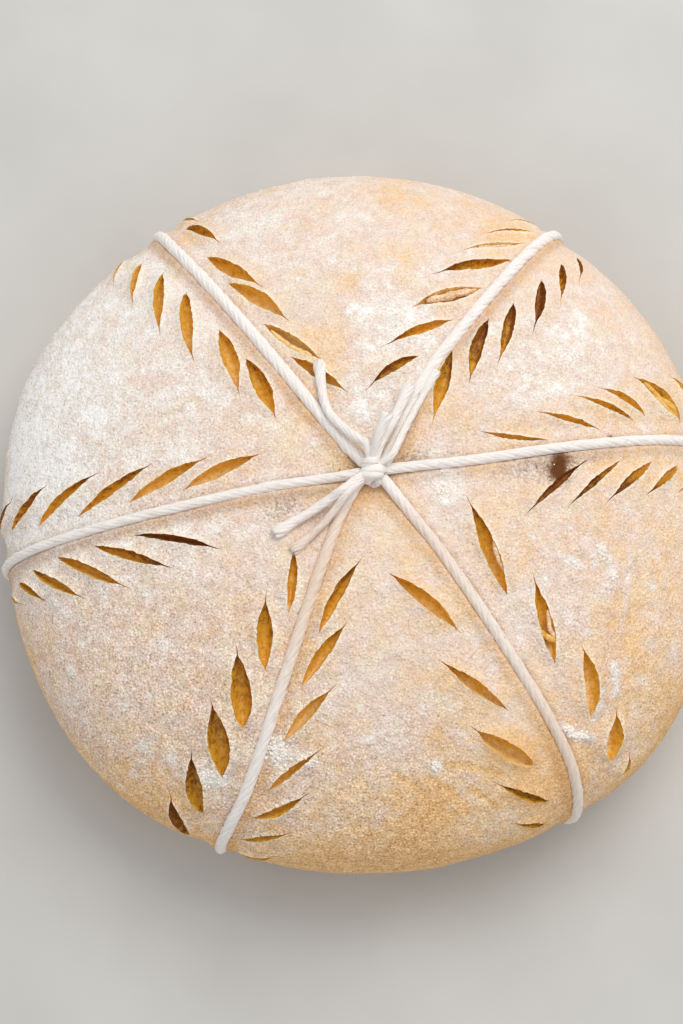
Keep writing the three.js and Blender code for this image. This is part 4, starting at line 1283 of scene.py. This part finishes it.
def floured():
    nodes = Nodes("flouredDough")
    finish = dict(doughFinish)
    for key, value in doughFinish.items():        # colours with three numbers are as seen on a screen
        if isinstance(value, tuple) and len(value) == 3:
            finish[key] = linear(*value)
    dusted = nodes.painted("dusted")
    level = dusted
    for kind in ("clump", "patch", "grain"):
        uneven = nodes.centred(finish[kind + "Size"], finish[kind + "Detail"])
        level = nodes.math("MULTIPLY_ADD", uneven, finish[kind], level)
    deep = nodes.ramp(nodes.noise(finish["deepSize"], detail=3), finish["deepFrom"], finish["deepTo"])
    bare = nodes.fade(dusted, finish["bareFrom"], finish["bareTo"])
    under = nodes.mix(nodes.math("MAXIMUM", deep, bare), finish["dough"], finish["deepDough"])
    tint = nodes.ramp(nodes.noise(finish["tintSize"], detail=3), finish["tintFrom"], finish["tintTo"])
    thin = nodes.mix(tint, finish["pinkFlour"], finish["creamFlour"])
    thick = nodes.ramp(level, finish["thickFrom"], finish["thickTo"])
    white = nodes.mix(thick, thin, finish["thickFlour"])
    colour = nodes.mix(nodes.ramp(level, finish["doughFrom"], finish["doughTo"]), under, white)
    heaped = nodes.math("ADD", nodes.centred(finish["heapSize"], detail=4), dusted)
    heaped = nodes.ramp(heaped, finish["heapFrom"], finish["heapTo"])
    colour = nodes.mix(heaped, colour, finish["heap"])
    lip = nodes.math("MULTIPLY", nodes.painted("lip"), finish["lipShare"])
    colour = nodes.mix(lip, colour, finish["lip"])
    speckle = nodes.noise(finish["speckleSize"])
    # the grain's dark gaps, pale tips and blotches are scaled by the painted grit, which also holds
    # painted shade away from the light
    gritAndShade = nodes.math("MULTIPLY_ADD", heaped, finish["heapGrit"], 1.0)
    gritAndShade = nodes.math("MULTIPLY", nodes.painted("gritAndShade"), gritAndShade)
    gaps = nodes.math("MULTIPLY", nodes.fade(speckle, finish["gapFrom"], finish["gapTo"]), gritAndShade)
    colour = nodes.mix(gaps, colour, finish["gap"], "MULTIPLY")
    tips = nodes.math("MULTIPLY", nodes.ramp(speckle, finish["tipFrom"], finish["tipTo"]), gritAndShade)
    colour = nodes.mix(tips, colour, finish["tip"], "ADD")
    blotches = nodes.noise(finish["blotchSize"])
    blotches = nodes.fade(blotches, finish["blotchFrom"], finish["blotchTo"])
    blotches = nodes.math("MULTIPLY", blotches, gritAndShade)
    colour = nodes.mix(blotches, colour, finish["blotch"], "MULTIPLY")
    # painted shadow: the band beside each string, multiplied into the colour
    colour = nodes.mix(nodes.painted("stringBand"), colour, finish["stringBand"], "MULTIPLY")
    # the brown stain, with the painted shadow haze under the right string, darkened in fine dots
    stainAndShade = nodes.painted("stainAndShade")
    edge = nodes.math("MULTIPLY", stainAndShade, nodes.math("SUBTRACT", 1.0, stainAndShade))
    edge = nodes.math("MAXIMUM", edge, 0.0)
    dots = nodes.math("MULTIPLY_ADD", edge, finish["stainEdge"], finish["stainGrain"])
    stainAndShadeAmount = nodes.math("MULTIPLY_ADD", nodes.centred(finish["stainSize"]), dots, stainAndShade)
    colour = nodes.mix(nodes.ramp(stainAndShadeAmount, 0, finish["stainTo"]), colour, finish["stainAndShade"])
    fine = nodes.noise(finish["fineBumpSize"])
    height = nodes.math("MULTIPLY_ADD", nodes.noise(finish["bumpSize"]), finish["bumpShare"], fine)
    return nodes.surface({
        "Base Color": colour, "Roughness": finish["roughness"], "Specular IOR Level": finish["gloss"],
        "Normal": nodes.bumps(height, finish["bumpStrength"], finish["bumpDepth"]),
    })


insideFinish = {
    "dark": (148, 83, 25), "middle": (232, 174, 52), "light": (246, 210, 146),
    "toneSteps": (0.1, 0.5, 0.9), "streakSize": 1.7, "streak": 0.9, "roughness": 0.45,
    "pore": (0.62, 0.47, 0.28, 1), "poreSize": 0.95, "poreFrom": 0.3, "poreTo": 0.45, "poreShare": 0.55,
    "fleck": (249, 209, 132), "fleckSize": 0.6, "fleckFrom": 0.6, "fleckTo": 0.74, "fleckShare": 0.42,
    "bumpSize": 2.2, "bumpShare": 1.6, "bumpStrength": 0.8, "bumpDepth": 0.55,
}


def cutInside():
    nodes = Nodes("moistDough")
    finish = insideFinish
    # each cut's tone, with its painted shade
    tone = nodes.painted("cutToneAndShade")
    streaks = nodes.centred(finish["streakSize"], detail=3)
    tone = nodes.math("MULTIPLY_ADD", streaks, finish["streak"], tone)
    low, middle, high = finish["toneSteps"]
    colour = nodes.mix(nodes.ramp(tone, low, middle), linear(*finish["dark"]), linear(*finish["middle"]))
    colour = nodes.mix(nodes.ramp(tone, middle, high), colour, linear(*finish["light"]))
    bubbles = nodes.noise(finish["poreSize"])
    pores = nodes.ramp(bubbles, finish["poreFrom"], finish["poreTo"], finish["poreShare"], 0.0)
    colour = nodes.mix(pores, colour, finish["pore"], "MULTIPLY")
    flecks = nodes.noise(finish["fleckSize"])
    flecks = nodes.ramp(flecks, finish["fleckFrom"], finish["fleckTo"], 0.0, finish["fleckShare"])
    colour = nodes.mix(flecks, colour, linear(*finish["fleck"]))
    height = nodes.math("MULTIPLY_ADD", nodes.noise(finish["bumpSize"]), finish["bumpShare"], bubbles)
    return nodes.surface({
        "Base Color": colour, "Roughness": finish["roughness"],
        "Normal": nodes.bumps(height, finish["bumpStrength"], finish["bumpDepth"]),
    })


stringFinish = {
    "cotton": (250, 245, 241), "shade": (241, 232, 225), "warm": (242, 222, 203), "warmBelow": (3, 12),
    "warmPlaces": [(0, -32, 66, 30, 1), (52, -64, 45, 26, 0.8)],        # x, y, z, reach and strength
    "fibreScale": 4.5, "fibreDetail": 3, "fibreFrom": 0.34, "fibreTo": 0.6, "fibreStretch": (1, 1, 0.07),
    "roughness": 0.95, "gloss": 0.15, "bumpStrength": 0.7, "bumpDepth": 0.25,
}


def cotton():
    nodes = Nodes("twistedCotton")
    finish = stringFinish
    place = nodes.add("ShaderNodeAttribute", attribute_name="fibre").outputs["Vector"]
    place = nodes.add("ShaderNodeMapping", {"Vector": place, "Scale": finish["fibreStretch"]}).outputs[0]
    links = {"Vector": place, "Scale": finish["fibreScale"], "Detail": finish["fibreDetail"]}
    fibre = nodes.add("ShaderNodeTexNoise", links).outputs["Fac"]
    share = nodes.ramp(fibre, finish["fibreFrom"], finish["fibreTo"])
    colour = nodes.mix(share, linear(*finish["shade"]), linear(*finish["cotton"]))
    colour = nodes.mix(nodes.painted("warm"), colour, linear(*finish["warm"]), "MULTIPLY")
    return nodes.surface({
        "Base Color": colour, "Roughness": finish["roughness"], "Specular IOR Level": finish["gloss"],
        "Normal": nodes.bumps(fibre, finish["bumpStrength"], finish["bumpDepth"]),
    })


crumbFinish = {"light": (254, 250, 245), "dark": (244, 233, 221), "patchSize": 0.4, "roughness": 0.95}


def looseFlour():
    nodes = Nodes("looseFlour")
    patches = nodes.noise(crumbFinish["patchSize"])
    colour = nodes.mix(patches, linear(*crumbFinish["light"]), linear(*crumbFinish["dark"]))
    return nodes.surface({"Base Color": colour, "Roughness": crumbFinish["roughness"]})


# Making

cottonMaterial = cotton()
moistMaterial = cutInside()
flouredMaterial = floured()
makeDough(flouredMaterial, moistMaterial)
makeStrands("cutFolds", strands["folds"], moistMaterial)
makeStrands("skinFolds", strands["skinFolds"], flouredMaterial)
for order in range(len(strings["ends"])):
    makeString(order, cottonMaterial)
makeKnot(cottonMaterial)
makeCrumbs(looseFlour())


# Floor, light and camera

stage = {
    "floorSize": 9000, "floorColour": (188, 187, 184), "floorLight": (214, 213, 210), "floorPatch": 60,
    "floorRoughness": 0.9, "skyStrength": 0.7, "skyColour": (0.97, 0.985, 1, 1),
    "keyDirection": (0.28, 0.44, 0.85), "keyDistance": 1300, "keySize": 800, "keyPower": 8.5,
    "keyColour": (1, 0.965, 0.91),
    "elevation": 76, "distance": 560, "lens": 70.38, "clipStart": 0.01, "target": (-4.7, -0.9, 32),
}


def makeStage():
    half = stage["floorSize"] / 2 * metresPerMm
    mesh = bpy.data.meshes.new("floor")
    corners = [(-half, -half, 0), (half, -half, 0), (half, half, 0), (-half, half, 0)]
    mesh.from_pydata(corners, [], [(0, 1, 2, 3)])
    floor = bpy.data.objects.new("floor", mesh)
    bpy.context.scene.collection.objects.link(floor)
    nodes = Nodes("paleFloor")
    patches = nodes.noise(stage["floorPatch"], detail=3)
    shade = nodes.mix(patches, linear(*stage["floorColour"]), linear(*stage["floorLight"]))
    mesh.materials.append(nodes.surface({"Base Color": shade, "Roughness": stage["floorRoughness"]}))
    scene = bpy.context.scene
    scene.view_settings.view_transform = "Standard"
    scene.world = scene.world or bpy.data.worlds.new("softRoom")
    scene.world.use_nodes = True
    sky = scene.world.node_tree.nodes["Background"]
    sky.inputs["Color"].default_value = stage["skyColour"]
    sky.inputs["Strength"].default_value = stage["skyStrength"]
    lamp = bpy.data.lights.new("windowLight", "AREA")
    lamp.size = stage["keySize"] * metresPerMm
    lamp.energy = stage["keyPower"]
    lamp.color = stage["keyColour"]
    light = bpy.data.objects.new("windowLight", lamp)
    toLight = Vector(stage["keyDirection"]).normalized()
    light.location = toLight * stage["keyDistance"] * metresPerMm
    light.rotation_euler = toLight.to_track_quat("Z", "Y").to_euler()
    scene.collection.objects.link(light)


def makeCamera():
    lens = bpy.data.cameras.new("camera")
    lens.lens = stage["lens"]
    lens.clip_start = stage["clipStart"]
    camera = bpy.data.objects.new("camera", lens)
    rise = math.radians(stage["elevation"])
    back = Vector((0, -math.cos(rise), math.sin(rise)))
    camera.location = (Vector(stage["target"]) + back * stage["distance"]) * metresPerMm
    camera.rotation_euler = back.to_track_quat("Z", "Y").to_euler()
    bpy.context.scene.collection.objects.link(camera)
    bpy.context.scene.camera = camera


makeStage()
makeCamera()
print("stage, light and camera set")
